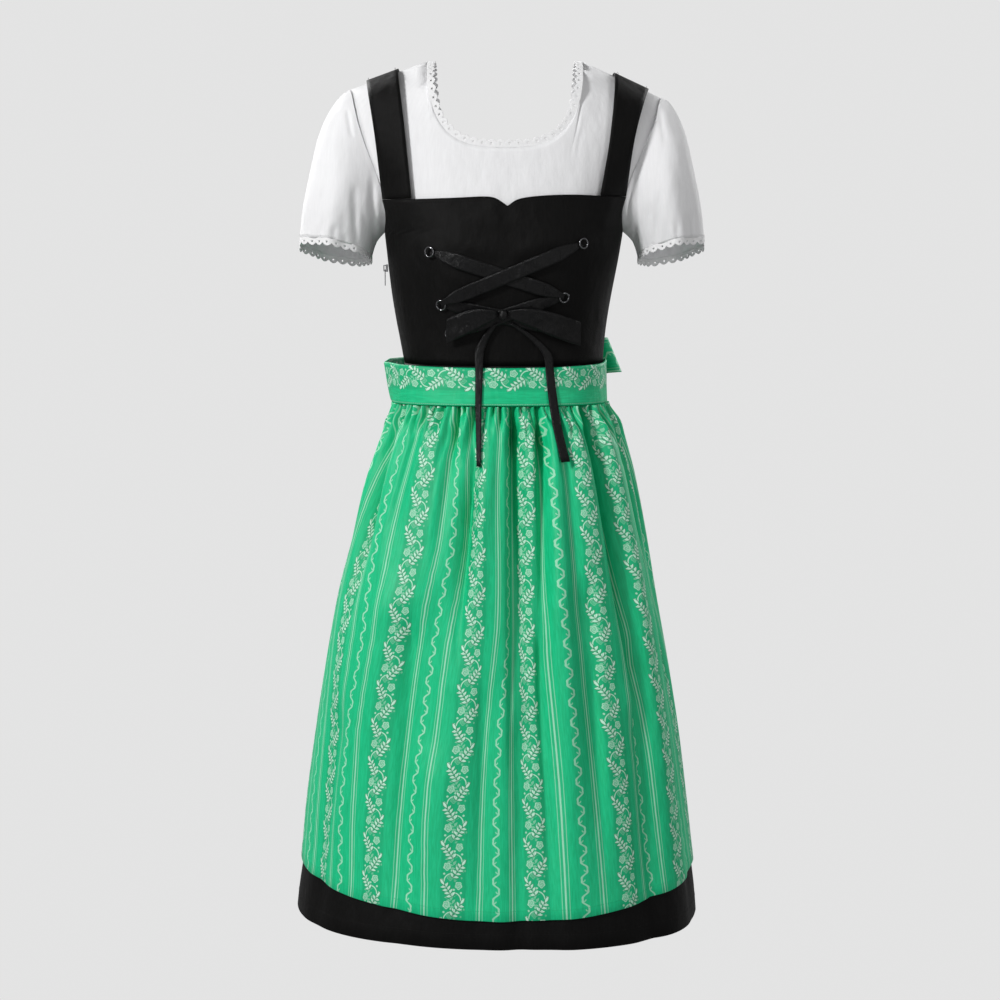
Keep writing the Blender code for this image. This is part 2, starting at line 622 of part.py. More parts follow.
def bodice_panel(face):
    strap_columns = 3 if face == FRONT else 2
    edges = {side: bodice_side_edge(face, side) for side in (-1, 1)}
    if face == FRONT:
        middle = [Vector((angle_at(FIGURE, *point), point.height)) for point in BODICE_TOP]
    else:
        middle = []
        inner = between(STRAPS[1], 1.0).inner
        for i in range(9):
            x = mix(-inner, inner, i / 8)
            height = BODICE_BACK_TOP - BODICE_BACK_DIP * (1 - (x / inner) ** 2)
            middle.append(Vector((angle_at(FIGURE, x, height), height)))
    top = [mix(edges[-1][-1], middle[0], i / strap_columns) for i in range(strap_columns)]
    top += middle
    top += [mix(middle[-1], edges[1][-1], (i + 1) / strap_columns) for i in range(strap_columns)]
    columns = len(top) - 1
    bottom = [mix(edges[-1][0], edges[1][0], i / columns) for i in range(columns + 1)]
    spots = [[spot_at(*cell) for cell in row] for row in patch(bottom, top, edges[-1], edges[1])]
    if face == BACK:
        spots = [[on_back(spot) for spot in reversed(row)] for row in spots]
    body_wall("bodice_" + face, spots, 0.0, PINAFORE_CLOTH, black_cotton)


def strap(name, side):
    """From the bodice's front over the shoulder to its back."""
    rows, columns = 14, 2
    grid = []
    for j in range(rows + 1):
        share = j / rows
        face = FRONT if share <= 0.5 else BACK
        width = between(STRAPS[side], share)
        foot = (STRAP_FOOT[side] if face == FRONT else BODICE_BACK_TOP) + SEAM_GAP
        row = []
        for i in range(columns + 1):
            x = side * mix(width.inner, width.outer, i / columns)
            foot_below = below_of(shoulder_height(x) - foot)
            below = foot_below * abs(1 - 2 * share)
            spot = place(face, x, shoulder_height(x) - drop_of(below))
            row.append(body_point(Vector((spot[0], below))))
        grid.append(row)
    wall("strap_" + name, grid, PINAFORE_CLOTH, black_cotton)


# ------------------------------------------------------------------ skirt and apron
def trough(height, angle):
    """How deep the hanging cloth's large folds are here."""
    depth = 0.0
    degrees = math.degrees(angle)
    for fold in FOLDS:
        if not fold.end < height < fold.start:
            continue
        down = (APRON_TOP - height) / (APRON_TOP - SKIRT_HEM)
        apart = (degrees - mix(fold.angle_top, fold.angle_hem, down) + 180) % 360 - 180
        opening = ease((fold.start - height) / FOLD_OPENS_OVER)
        closing = ease((height - fold.end) / (fold.start - fold.end) * FOLD_FADES_FROM)
        depth += fold.depth * opening * closing * math.exp(-((apart / fold.half_width) ** 2))
    return depth


def hanging_point(height, angle, lift):
    return level_point(HANG, height, angle, lift - trough(height, angle))


def gather(i, columns, height, depth):
    """Small gathers: every other column stands out under the seam, unevenly, and less at the sides."""
    fade = ease((height - GATHER_END) / (APRON_TOP - GATHER_END)) * ease(min(i, columns - i) / 5)
    uneven = 0.75 + 0.25 * math.sin(2.3 * i)
    return depth * (1 if i % 2 else -1) * uneven * fade


def skirt_hem(angle):
    return SKIRT_HEM - SKIRT_HEM_TILT * math.sin(angle)


def apron_hem(angle):
    side = math.sin(min(abs(angle), math.pi / 2))
    return APRON_HEM_FRONT + APRON_HEM_RISE * side * side - SKIRT_HEM_TILT * math.sin(angle)


def skirt_panel(name, first, last, columns, gathers):
    grid = []
    top = WAIST - SEAM_GAP
    for share in SKIRT_SHARES:
        row = []
        for i in range(columns + 1):
            angle = math.radians(mix(first, last, i / columns))
            height = mix(top, skirt_hem(angle), share)
            inside = SKIRT_NEST - 0.0035 * ease((-0.90 - height) / 0.10)
            row.append(hanging_point(height, angle, gather(i, columns, height, gathers) - inside))
        grid.append(row)
    wall(name, grid, SKIRT_CLOTH, black_cotton)


def apron_skirt():
    columns = 2 * APRON_GATHERS
    grid = []
    for share in APRON_SHARES:
        row = []
        for i in range(columns + 1):
            angle = math.radians(mix(-APRON_HALF_WRAP, APRON_HALF_WRAP, i / columns))
            height = mix(APRON_TOP, apron_hem(angle), share)
            row.append(hanging_point(height, angle, gather(i, columns, height, APRON_GATHER_DEPTH)))
        grid.append(row)
    wall("apron_skirt", grid, APRON_CLOTH, green_print)


def apron_band():
    columns = 30
    grid = []
    for section in BAND:
        turns = [mix(-APRON_HALF_WRAP, APRON_HALF_WRAP, i / columns) for i in range(columns + 1)]
        grid.append([level_point(BAND, section.height, math.radians(turn), 0.0) for turn in turns])
    wall("apron_band", grid, BAND_CLOTH, green_print)


def apron_tie(name, side):
    """The band's end, which narrows towards the knot behind."""
    columns = 8
    first = APRON_HALF_WRAP + 0.35
    last = 180 - KNOT_HALF_ANGLE
    grid = [[], []]
    for i in range(columns + 1):
        share = i / columns
        angle = side * math.radians(mix(first, last, share))
        for row, section in zip(grid, BAND):
            knot_height = BAND_MIDDLE + math.copysign(TIE_HALF_HEIGHT_AT_KNOT, section.height - BAND_MIDDLE)
            point = level_point(BAND, section.height, angle, TIE_RISE_AT_KNOT * ease(share * 2 - 1))
            point.z = mix(section.height, knot_height, ease(share * 1.3 - 0.3))
            row.append(point)
    wall("tie_" + name, grid, APRON_CLOTH * 1.5, green_print)


def bow_loop(name, side):
    grid = [[], [], []]
    for step in BOW_LOOP:
        out = ease((step.across - BOW_LOOP[0].across) / LOOP_LEANS_OVER)
        for row, up in zip(grid, (-1, 0, 1)):
            across = step.across * mix(1.0, LOOP_REACH[side], out) - up * LOOP_LEAN * out
            row.append(Vector((side * across, step.behind, step.height + up * step.half_height)))
    wall("bow_loop_" + name, grid, APRON_CLOTH, green_print)


def bow_tail(name, side):
    """A tie's free end, lying down the back of the skirt."""
    rows, columns = 10, 2
    grid = []
    for j in range(rows + 1):
        share = (j / rows) ** 1.5  # the rows lie closer where the tail leaves the knot
        height = mix(TAIL_TOP, TAIL_END[side], share)
        angle = math.pi - side * math.radians(mix(TAIL_ANGLE_TOP, TAIL_ANGLE_END, ease(share * 4)))
        depth = between(HANG, height).back
        half = TAIL_HALF_WIDTH * (0.29 + 0.71 * ease(share * 4))
        lift = TAIL_LIFT + TAIL_RISE_AT_KNOT * (1 - ease(share * 6))
        row = []
        for i in range(columns + 1):
            slant = 0.012 * (i - 1) * ease((share - 0.85) / 0.15) * side
            spread = (i - 1) * half / depth
            row.append(level_point(HANG, height + slant, angle - side * spread, lift))
        grid.append(row)
    wall("bow_tail_" + name, grid, APRON_CLOTH, green_print)


# ------------------------------------------------------------------ front lacing
def front_point(x, height, lift):
    return body_point(place(FRONT, x, height), lift)


def front_normal(x, height):
    step = 0.004
    across = front_point(x + step, height, 0.0) - front_point(x - step, height, 0.0)
    up = front_point(x, height + step, 0.0) - front_point(x, height - step, 0.0)
    return across.cross(up).normalized()


def lacing_ring(name, x, height, lift):
    mesh = bpy.data.meshes.new(name)
    shape = bmesh.new()
    around, wire_sides = 12, 4
    radius, wire = (RING_OUTER - RING_WIRE) / 2, RING_WIRE / 2
    rows = []
    for i in range(around):
        turn = 2 * math.pi * i / around
        outward = Vector((math.cos(turn), math.sin(turn), 0))
        circle = []
        for k in range(wire_sides):
            bend = 2 * math.pi * k / wire_sides
            beside, above = radius + wire * math.cos(bend), wire * math.sin(bend)
            circle.append(shape.verts.new(outward * beside + Vector((0, 0, above))))
        rows.append(circle)
    for i in range(around):
        for k in range(wire_sides):
            following, after = rows[(i + 1) % around], (k + 1) % wire_sides
            shape.faces.new((rows[i][k], following[k], following[after], rows[i][after]))
    normal = front_normal(x, height)
    centre = front_point(x, height, 0.0) + normal * lift
    shape.transform(normal.to_track_quat("Z", "Y").to_matrix().to_4x4())
    for vert in shape.verts:
        vert.co += centre
    shape.to_mesh(mesh)
    shape.free()
    add_object(name, mesh, gunmetal)


def lacing_band(name, start, end, crossing_lift):
    """A ribbon that leaves one ring from beneath and goes down into the next over its wire."""
    first, last = Vector(RINGS[start][:2]), Vector(RINGS[end][:2])
    over = RINGS[end].lift + RIBBON_OVER_RING
    length = (last - first).length
    aside = Vector((first.y - last.y, last.x - first.x)) / length
    stations = [(way, RIBBON_UNDER_LIFT) for way in RIBBON_UNDER_STATIONS]
    stations += [(mix(0.036, length - 0.048, k / 3), crossing_lift) for k in range(4)]
    stations += [(length - way, over) for way in RIBBON_OVER_STATIONS]
    stations += [(length - RIBBON_TUCK, over - RIBBON_TUCK_DROP)]
    grid = [[], [], []]
    for way, lift in stations:
        near = min(way, length - way)
        half = mix(RIBBON_WIDTH_IN_RING, RIBBON_WIDTH, ease((near - 0.006) / 0.016)) / 2
        middle = mix(first, last, way / length)
        for row, offset in zip(grid, (-half, 0, half)):
            flat = middle + aside * offset
            row.append(front_point(flat.x, flat.y, lift))
    wall(name, grid, RIBBON_CLOTH, black_satin)


def front_loop(name, side):
    grid = [[], [], []]
    for step in FRONT_LOOP[side]:
        for row, up in zip(grid, (-1, 0, 1)):
            row.append(front_point(side * step.across, step.height + up * step.half_height, step.lift))
    wall("front_bow_loop_" + name, grid, RIBBON_CLOTH, black_satin)


def lying_point(x, height, lift):
    """A point in front of whatever cloth is outermost at that height: bodice, apron band or apron."""
    if height > BAND[-1].height:
        return front_point(x, height, lift)
    if height > BAND[0].height:
        return level_point(BAND, height, angle_at(BAND, x, height), lift)
    return hanging_point(height, angle_at(HANG, x, height), lift)


def front_tail(name, side):
    """A free end of the lacing, hanging in front of the apron."""
    grid = [[], []]
    for step in FRONT_TAIL[side]:
        for row, aside in zip(grid, (-1, 1)):
            row.append(lying_point(side * step.across + aside * step.half_width, step.height, step.lift))
    wall("front_bow_tail_" + name, grid, RIBBON_CLOTH, black_satin)


# ------------------------------------------------------------------ side zip
def box(name, low, high, finish):
    """A plain box between two corners, given as out from the side, along Y and up."""
    mesh = bpy.data.meshes.new(name)
    shape = bmesh.new()
    bmesh.ops.create_cube(shape, size=1.0)
    for vert in shape.verts:
        shares = (0.5 - vert.co.x, 0.5 + vert.co.y, 0.5 + vert.co.z)
        out, along, up = (mix(a, b, share) for a, b, share in zip(low, high, shares))
        vert.co = Vector((-out, along, up))
    shape.to_mesh(mesh)
    shape.free()
    made = bpy.data.objects.new(name, mesh)
    mesh.materials.append(finish)
    dirndl.objects.link(made)
    return made


def combine(base, other, operation):
    """Joins or cuts with a Boolean; the other object becomes a hidden helper."""
    dirndl.objects.unlink(other)
    cutters.objects.link(other)
    other.hide_render = True
    other.display_type = "WIRE"
    boolean = base.modifiers.new(other.name, "BOOLEAN")
    boolean.object = other
    boolean.operation = operation


def side_zip():
    grid = [[], []]
    rows = 5
    for j in range(rows + 1):
        height = mix(ZIP_END, ZIP_TOP, j / rows)
        x = -between(FIGURE, height).right
        for row, along in zip(grid, (-ZIP_HALF_WIDTH, ZIP_HALF_WIDTH)):
            row.append(Vector((x, along, height)))
    wall("zip_teeth", grid, ZIP_THICK, zip_black)

    top = SLIDER_HEIGHT + SLIDER_TALL / 2
    inner = between(FIGURE, top).right + PINAFORE_CLOTH / 2 + SEAM_GAP
    face = inner + SLIDER_THICK
    half_wide, half_tall = SLIDER_WIDE / 2, SLIDER_TALL / 2
    low, high = (inner, -half_wide, SLIDER_HEIGHT - half_tall), (face, half_wide, top)
    slider = box("zip_slider", low, high, zip_metal)
    bridge_half = BRIDGE_TALL / 2 + BRIDGE_WALL
    bridge = box(
        "bridge",
        (face - 0.0004, -BRIDGE_WIDE / 2, SLIDER_HEIGHT - bridge_half),
        (face + BRIDGE_ROOM + BRIDGE_WALL, BRIDGE_WIDE / 2, SLIDER_HEIGHT + bridge_half),
        zip_metal,
    )
    room = box(
        "room under the bridge",
        (face, -BRIDGE_WIDE, SLIDER_HEIGHT - BRIDGE_TALL / 2),
        (face + BRIDGE_ROOM, BRIDGE_WIDE, SLIDER_HEIGHT + BRIDGE_TALL / 2),
        zip_metal,
    )
    combine(slider, bridge, "UNION")
    combine(slider, room, "DIFFERENCE")

    pivot_out = face + BRIDGE_ROOM / 2
    pivot_up = SLIDER_HEIGHT - BRIDGE_TALL / 2 + TAB_SLACK + TAB_THICK / 2
    tab = box(
        "zip_pull_tab",
        (-TAB_THICK / 2, -TAB_WIDE / 2, TAB_THICK / 2 - TAB_LONG),
        (TAB_THICK / 2, TAB_WIDE / 2, TAB_THICK / 2),
        zip_metal,
    )
    window = box(
        "tab window",
        (-TAB_THICK, -TAB_WINDOW_WIDE / 2, -TAB_THICK / 2 - TAB_WINDOW_TALL),
        (TAB_THICK, TAB_WINDOW_WIDE / 2, -TAB_THICK / 2),
        zip_metal,
    )
    combine(tab, window, "DIFFERENCE")
    hinge = bpy.data.objects.new("pull tab hinge", None)
    dirndl.objects.link(hinge)
    hinge.location = (-pivot_out, 0, pivot_up)
    for piece in (tab, window):
        piece.parent = hinge


# ------------------------------------------------------------------ the garment
for old in list(bpy.data.objects):
    bpy.data.objects.remove(old)
dirndl = bpy.data.collections.new("dirndl")
bpy.context.scene.collection.children.link(dirndl)
cutters = bpy.data.collections.new("cutters")
bpy.context.scene.collection.children.link(cutters)

white_cotton = material("white cotton", (0.86, 0.86, 0.87), 0.85)
white_lace = material("white eyelet lace", (0.88, 0.88, 0.88), 0.85)
black_cotton = material("black satin cotton", (0.012, 0.012, 0.013), 0.6)
black_satin = material("black satin ribbon", (0.010, 0.010, 0.011), 0.4)
green_print = material("green apron print", (0.02, 0.55, 0.24), 0.5)
gunmetal = material("gunmetal", (0.20, 0.20, 0.21), 0.3, metallic=1.0)
zip_black = material("black zip teeth", (0.015, 0.015, 0.016), 0.5)
zip_metal = material("zip metal", (0.42, 0.42, 0.43), 0.35, metallic=1.0)

for panel_face in (FRONT, BACK):
    blouse_panel(panel_face)
    bodice_panel(panel_face)
for side_name, side_sign in SIDES:
    sleeve(side_name, side_sign)
    cuff_lace(side_name, side_sign)
    strap(side_name, side_sign)
    apron_tie(side_name, side_sign)
    bow_loop(side_name, side_sign)
    bow_tail(side_name, side_sign)
    front_loop(side_name, side_sign)
    front_tail(side_name, side_sign)
neck_lace()
SIDE_SEAM_DEGREES = 90 - math.degrees(SEAM_GAP / 2 / 0.12)
skirt_panel("skirt_front", -SIDE_SEAM_DEGREES, SIDE_SEAM_DEGREES, SKIRT_FRONT_COLUMNS, 0.0)
skirt_panel("skirt_back", 180 - SIDE_SEAM_DEGREES, 180 + SIDE_SEAM_DEGREES, 2 * BACK_GATHERS, BACK_GATHER_DEPTH)
apron_skirt()
apron_band()
soft_block("bow_knot", BOW_KNOT_CENTRE, BOW_KNOT_HALF, green_print)
soft_block("front_bow_knot", front_point(*FRONT_KNOT, FRONT_KNOT_LIFT), FRONT_KNOT_HALF, black_satin)
for (pair, ring_side), ring in RINGS.items():
    lacing_ring(f"ring_{pair}_{'left' if ring_side > 0 else 'right'}", *ring)
for lacing_row in LACING:
    lacing_band(*lacing_row)
side_zip()
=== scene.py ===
"""Looks of the dirndl: its cloth, print, lace, lacing and zip, set on the fixed frame of its solids.

Metres, +Z up. The front faces -Y and the wearer's left is +X.
"""

import math
import random
from collections import namedtuple

import bmesh
import bpy
import numpy as np
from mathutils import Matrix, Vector
from mathutils.bvhtree import BVHTree


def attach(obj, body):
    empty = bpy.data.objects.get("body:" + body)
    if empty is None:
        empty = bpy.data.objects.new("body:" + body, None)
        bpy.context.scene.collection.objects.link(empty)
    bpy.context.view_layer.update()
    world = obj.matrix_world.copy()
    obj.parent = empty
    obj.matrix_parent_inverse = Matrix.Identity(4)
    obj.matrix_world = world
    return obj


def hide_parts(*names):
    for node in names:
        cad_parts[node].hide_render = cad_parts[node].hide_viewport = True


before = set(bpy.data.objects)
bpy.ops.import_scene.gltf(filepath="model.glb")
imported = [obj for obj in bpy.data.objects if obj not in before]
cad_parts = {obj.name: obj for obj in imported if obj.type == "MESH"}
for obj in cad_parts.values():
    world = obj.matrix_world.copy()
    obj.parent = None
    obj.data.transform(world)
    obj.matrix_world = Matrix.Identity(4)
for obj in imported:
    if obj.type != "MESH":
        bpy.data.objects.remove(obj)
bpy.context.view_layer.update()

# ------------------------------------------------------------------ camera
camera = bpy.data.objects.new("camera", bpy.data.cameras.new("camera"))
bpy.context.scene.collection.objects.link(camera)
camera.location = (-0.006, -2.650, -0.228)
camera.rotation_euler = (math.radians(83.3), 0, 0)
camera.data.lens, camera.data.sensor_width = 76.8, 36
bpy.context.scene.camera = camera

# ------------------------------------------------------------------ the garment's sizes, as in its solids
SEAM_GAP = 0.0006
PINAFORE_CLOTH, SKIRT_CLOTH = 0.0020, 0.0014
APRON_CLOTH, BAND_CLOTH = 0.0012, 0.0026
BLOUSE_LIFT = -0.0056
NECK_POINT_HEIGHT, NECK_HALF_WIDTH = 0.005, 0.096
SHOULDER_SLOPE = {1: 0.47, -1: 0.37}
SHOULDER_ROLL = 0.045
SQUARENESS = 0.05
BUST_RISE, BUST_ACROSS, BUST_HEIGHT = 0.008, 0.066, -0.236
BUST_WIDTH, BUST_TALL = 0.048, 0.052

Section = namedtuple("Section", "height right left front back")
FIGURE = (
    Section(-0.420, 0.1280, 0.1240, 0.091, 0.082),
    Section(-0.367, 0.1235, 0.1205, 0.088, 0.078),
    Section(-0.320, 0.1325, 0.1240, 0.094, 0.082),
    Section(-0.280, 0.1390, 0.1310, 0.102, 0.087),
    Section(-0.240, 0.1435, 0.1390, 0.106, 0.091),
    Section(-0.210, 0.1470, 0.1440, 0.106, 0.094),
    Section(-0.180, 0.1560, 0.1530, 0.103, 0.096),
    Section(-0.150, 0.1720, 0.1700, 0.099, 0.097),
    Section(-0.100, 0.1960, 0.1980, 0.092, 0.094),
    Section(-0.050, 0.2060, 0.2100, 0.083, 0.088),
    Section(0.010, 0.2120, 0.2160, 0.074, 0.080),
)
WAIST = -0.367
EdgePoint = namedtuple("EdgePoint", "across height")
BODICE_TOP = (
    EdgePoint(-0.1120, -0.1685),
    EdgePoint(-0.0880, -0.1680),
    EdgePoint(-0.0640, -0.1675),
    EdgePoint(-0.0400, -0.1665),
    EdgePoint(-0.0155, -0.1650),
    EdgePoint(-0.0060, -0.1705),
    EdgePoint(0.0030, -0.1770),
    EdgePoint(0.0090, -0.1725),
    EdgePoint(0.0160, -0.1680),
    EdgePoint(0.0350, -0.1655),
    EdgePoint(0.0550, -0.1640),
    EdgePoint(0.0850, -0.1630),
    EdgePoint(0.1140, -0.1645),
)
BODICE_BACK_TOP, BODICE_BACK_DIP = -0.140, 0.012
STRAP_FOOT = {1: -0.1650, -1: -0.1685}
StrapRow = namedtuple("StrapRow", "share inner outer")
STRAPS = {  # share 0 at the front seam, 0.5 on the shoulder, 1 at the back seam
    1: (
        StrapRow(0.0, 0.1140, 0.1455),
        StrapRow(0.2, 0.1260, 0.1545),
        StrapRow(0.5, 0.1330, 0.1760),
        StrapRow(0.8, 0.1200, 0.1640),
        StrapRow(1.0, 0.1060, 0.1500),
    ),
    -1: (
        StrapRow(0.0, 0.1120, 0.1475),
        StrapRow(0.2, 0.1190, 0.1550),
        StrapRow(0.5, 0.1300, 0.1690),
        StrapRow(0.8, 0.1190, 0.1600),
        StrapRow(1.0, 0.1060, 0.1480),
    ),
}
NECKLINE_FRONT_DEPTH, NECKLINE_BACK_DEPTH, NECKLINE_POWER = 0.113, 0.122, 3.0
Lace = namedtuple("Lace", "scallops width notch eyelet_radius rim_radius rim_thread length")
NECK_LACE = Lace(78, 0.0100, 0.0036, 0.00135, 0.00145, 0.00030, 0.86)
CUFF_LACE = Lace(28, 0.0090, 0.0036, 0.00125, 0.00135, 0.00028, 0.33)
SleeveRow = namedtuple("SleeveRow", "share outer_x outer_z inner_x inner_z half_depth")
SLEEVE_HEM = SleeveRow(1.00, 0.250, -0.219, 0.1640, -0.235, 0.059)
SLEEVE_REACH = {1: 0.985, -1: 1.015}
SLEEVE_HEM_TILT = 0.011
SLEEVE_FOLDS, SLEEVE_FOLD_DEPTH = 7, 0.0028

SKIRT_NEST = 0.0070
HANG = (
    Section(-1.066, 0.2680, 0.2470, 0.1950, 0.1980),
    Section(-1.030, 0.2640, 0.2440, 0.1920, 0.1950),
    Section(-0.990, 0.2580, 0.2390, 0.1870, 0.1900),
    Section(-0.912, 0.2500, 0.2300, 0.1800, 0.1820),
    Section(-0.827, 0.2380, 0.2195, 0.1725, 0.1740),
    Section(-0.727, 0.2230, 0.2040, 0.1630, 0.1640),
    Section(-0.654, 0.2100, 0.1920, 0.1540, 0.1550),
    Section(-0.586, 0.1940, 0.1810, 0.1445, 0.1450),
    Section(-0.523, 0.1800, 0.1690, 0.1340, 0.1340),
    Section(-0.485, 0.1680, 0.1600, 0.1260, 0.1250),
    Section(-0.440, 0.1500, 0.1450, 0.1110, 0.1080),
    Section(-0.416, 0.1370, 0.1265, 0.0985, 0.0945),
    Section(-0.367, 0.1305, 0.1275, 0.0950, 0.0850),
)
SKIRT_HEM, SKIRT_HEM_TILT = -1.0565, 0.0045
APRON_TOP = -0.4160
APRON_HEM_FRONT, APRON_HEM_RISE = -1.0220, 0.0300
APRON_HALF_WRAP = 104.0
FOLD_OPENS_OVER, FOLD_FADES_FROM, GATHERS_FADE_FROM = 0.060, 1.6, 1.5
Fold = namedtuple("Fold", "angle_top angle_hem half_width depth start end")
FOLDS = (
    Fold(-61.0, -54.0, 5.5, 0.0110, -0.400, -0.720),
    Fold(-41.0, -38.0, 4.5, 0.0045, -0.400, -0.600),
    Fold(-27.0, -30.0, 4.5, 0.0040, -0.400, -0.560),
    Fold(-33.0, -30.0, 9.0, 0.0050, -0.640, -1.200),
    Fold(-13.0, -18.0, 5.0, 0.0085, -0.400, -0.700),
    Fold(4.0, 11.0, 5.5, 0.0120, -0.400, -1.250),
    Fold(17.0, 17.0, 4.0, 0.0070, -0.400, -0.560),
    Fold(29.0, 31.0, 4.5, 0.0055, -0.400, -0.620),
    Fold(34.0, 36.0, 9.0, 0.0045, -0.700, -1.200),
    Fold(44.0, 51.0, 5.5, 0.0140, -0.400, -0.860),
    Fold(64.0, 66.0, 5.5, 0.0055, -0.400, -0.700),
    Fold(79.0, 78.0, 6.5, 0.0080, -0.400, -1.200),
    Fold(101.0, 102.0, 6.5, 0.0100, -0.380, -1.150),
    Fold(122.0, 120.0, 6.5, 0.0090, -0.380, -1.250),
    Fold(141.0, 143.0, 6.0, 0.0120, -0.380, -1.100),
    Fold(162.0, 161.0, 6.5, 0.0100, -0.380, -1.300),
    Fold(183.0, 181.0, 6.5, 0.0090, -0.380, -1.150),
    Fold(204.0, 203.0, 6.0, 0.0120, -0.380, -1.300),
    Fold(224.0, 226.0, 6.5, 0.0090, -0.380, -1.100),
    Fold(243.0, 242.0, 6.5, 0.0110, -0.380, -1.250),
    Fold(261.0, 262.0, 6.0, 0.0090, -0.380, -1.150),
)

FINER_FOLDS = (  # sharper edges and smaller waves between the large folds; a negative depth is a ridge
    Fold(-92.0, -90.0, 3.0, 0.0060, -0.400, -0.660),
    Fold(-78.0, -80.0, 3.0, 0.0065, -0.400, -0.730),
    Fold(-64.0, -50.0, 2.8, 0.0075, -0.400, -0.650),
    Fold(-49.0, -51.0, 3.4, 0.0050, -0.400, -0.600),
    Fold(-36.0, -48.0, 5.0, -0.0065, -0.600, -0.880),
    Fold(-56.0, -58.0, 4.5, 0.0075, -0.760, -1.120),
    Fold(-22.3, -23.5, 4.0, 0.0065, -0.600, -0.920),
    Fold(-20.5, -20.5, 7.0, -0.0075, -0.800, -1.060),
    Fold(-13.0, -16.5, 2.4, 0.0060, -0.430, -0.740),
    Fold(-8.0, -10.0, 3.0, -0.0040, -0.480, -0.760),
    Fold(-3.0, -2.5, 2.6, 0.0040, -0.420, -0.620),
    Fold(3.6, 0.8, 2.2, 0.0065, -0.400, -0.660),
    Fold(4.8, 4.2, 3.6, 0.0080, -0.760, -1.200),
    Fold(17.3, 9.1, 2.6, 0.0080, -0.400, -0.900),
    Fold(20.5, 19.0, 4.0, -0.0050, -0.520, -1.150),
    Fold(28.0, 25.0, 3.2, 0.0050, -0.420, -0.800),
    Fold(44.5, 50.0, 2.4, 0.0080, -0.400, -0.780),
    Fold(47.0, 44.0, 4.2, 0.0080, -0.760, -1.200),
    Fold(56.0, 55.0, 4.0, -0.0045, -0.560, -1.000),
    Fold(70.0, 72.0, 2.8, 0.0065, -0.400, -0.700),
    Fold(72.0, 71.0, 4.5, 0.0065, -0.700, -1.150),
    Fold(88.0, 90.0, 3.0, 0.0065, -0.400, -0.760),
    Fold(112.0, 110.0, 3.4, 0.0075, -0.370, -0.820),
    Fold(131.0, 133.0, 3.2, 0.0080, -0.370, -0.700),
    Fold(151.0, 150.0, 3.6, 0.0065, -0.370, -0.900),
    Fold(172.0, 171.0, 3.2, 0.0080, -0.370, -0.760),
    Fold(193.5, 195.0, 3.4, 0.0075, -0.370, -0.860),
    Fold(214.0, 213.0, 3.2, 0.0090, -0.370, -0.720),
    Fold(234.0, 236.0, 3.4, 0.0065, -0.370, -0.930),
    Fold(252.0, 251.0, 3.2, 0.0080, -0.370, -0.780),
)

Pleat = namedtuple("Pleat", "angle_top angle_hem left_width right_width depth start end")
PLEATS = (  # deep folds with one steep side and one that opens out slowly
    Pleat(-66.0, -51.0, 5.0, 2.2, 0.0144, -0.400, -0.740),
    Pleat(-44.0, -47.0, 1.6, 4.0, 0.0060, -0.400, -0.620),
    Pleat(-23.5, -25.0, 1.8, 5.0, 0.0102, -0.400, -0.640),
    Pleat(-13.5, -17.0, 3.6, 1.6, 0.0084, -0.480, -0.760),
    Pleat(2.8, 1.2, 1.3, 7.0, 0.0132, -0.400, -0.900),
    Pleat(19.0, 8.0, 4.0, 1.8, 0.0096, -0.400, -0.760),
    Pleat(43.0, 51.0, 1.6, 6.5, 0.0180, -0.400, -0.820),
    Pleat(12.0, 14.0, 2.0, 5.5, 0.0096, -0.660, -1.080),
    Pleat(33.0, 29.0, 5.5, 2.0, 0.0096, -0.600, -1.040),
    Pleat(50.0, 47.0, 2.2, 6.0, 0.0108, -0.680, -1.160),
    Pleat(-33.0, -29.0, 2.2, 6.0, 0.0090, -0.640, -1.120),
    Pleat(-6.0, -7.0, 2.0, 5.0, 0.0072, -0.720, -1.100),
    Pleat(67.0, 70.0, 1.8, 5.0, 0.0108, -0.400, -0.760),
    Pleat(-84.0, -82.0, 4.5, 2.0, 0.0096, -0.400, -0.820),
    Pleat(84.0, 82.0, 2.0, 5.0, 0.0096, -0.400, -0.880),
)

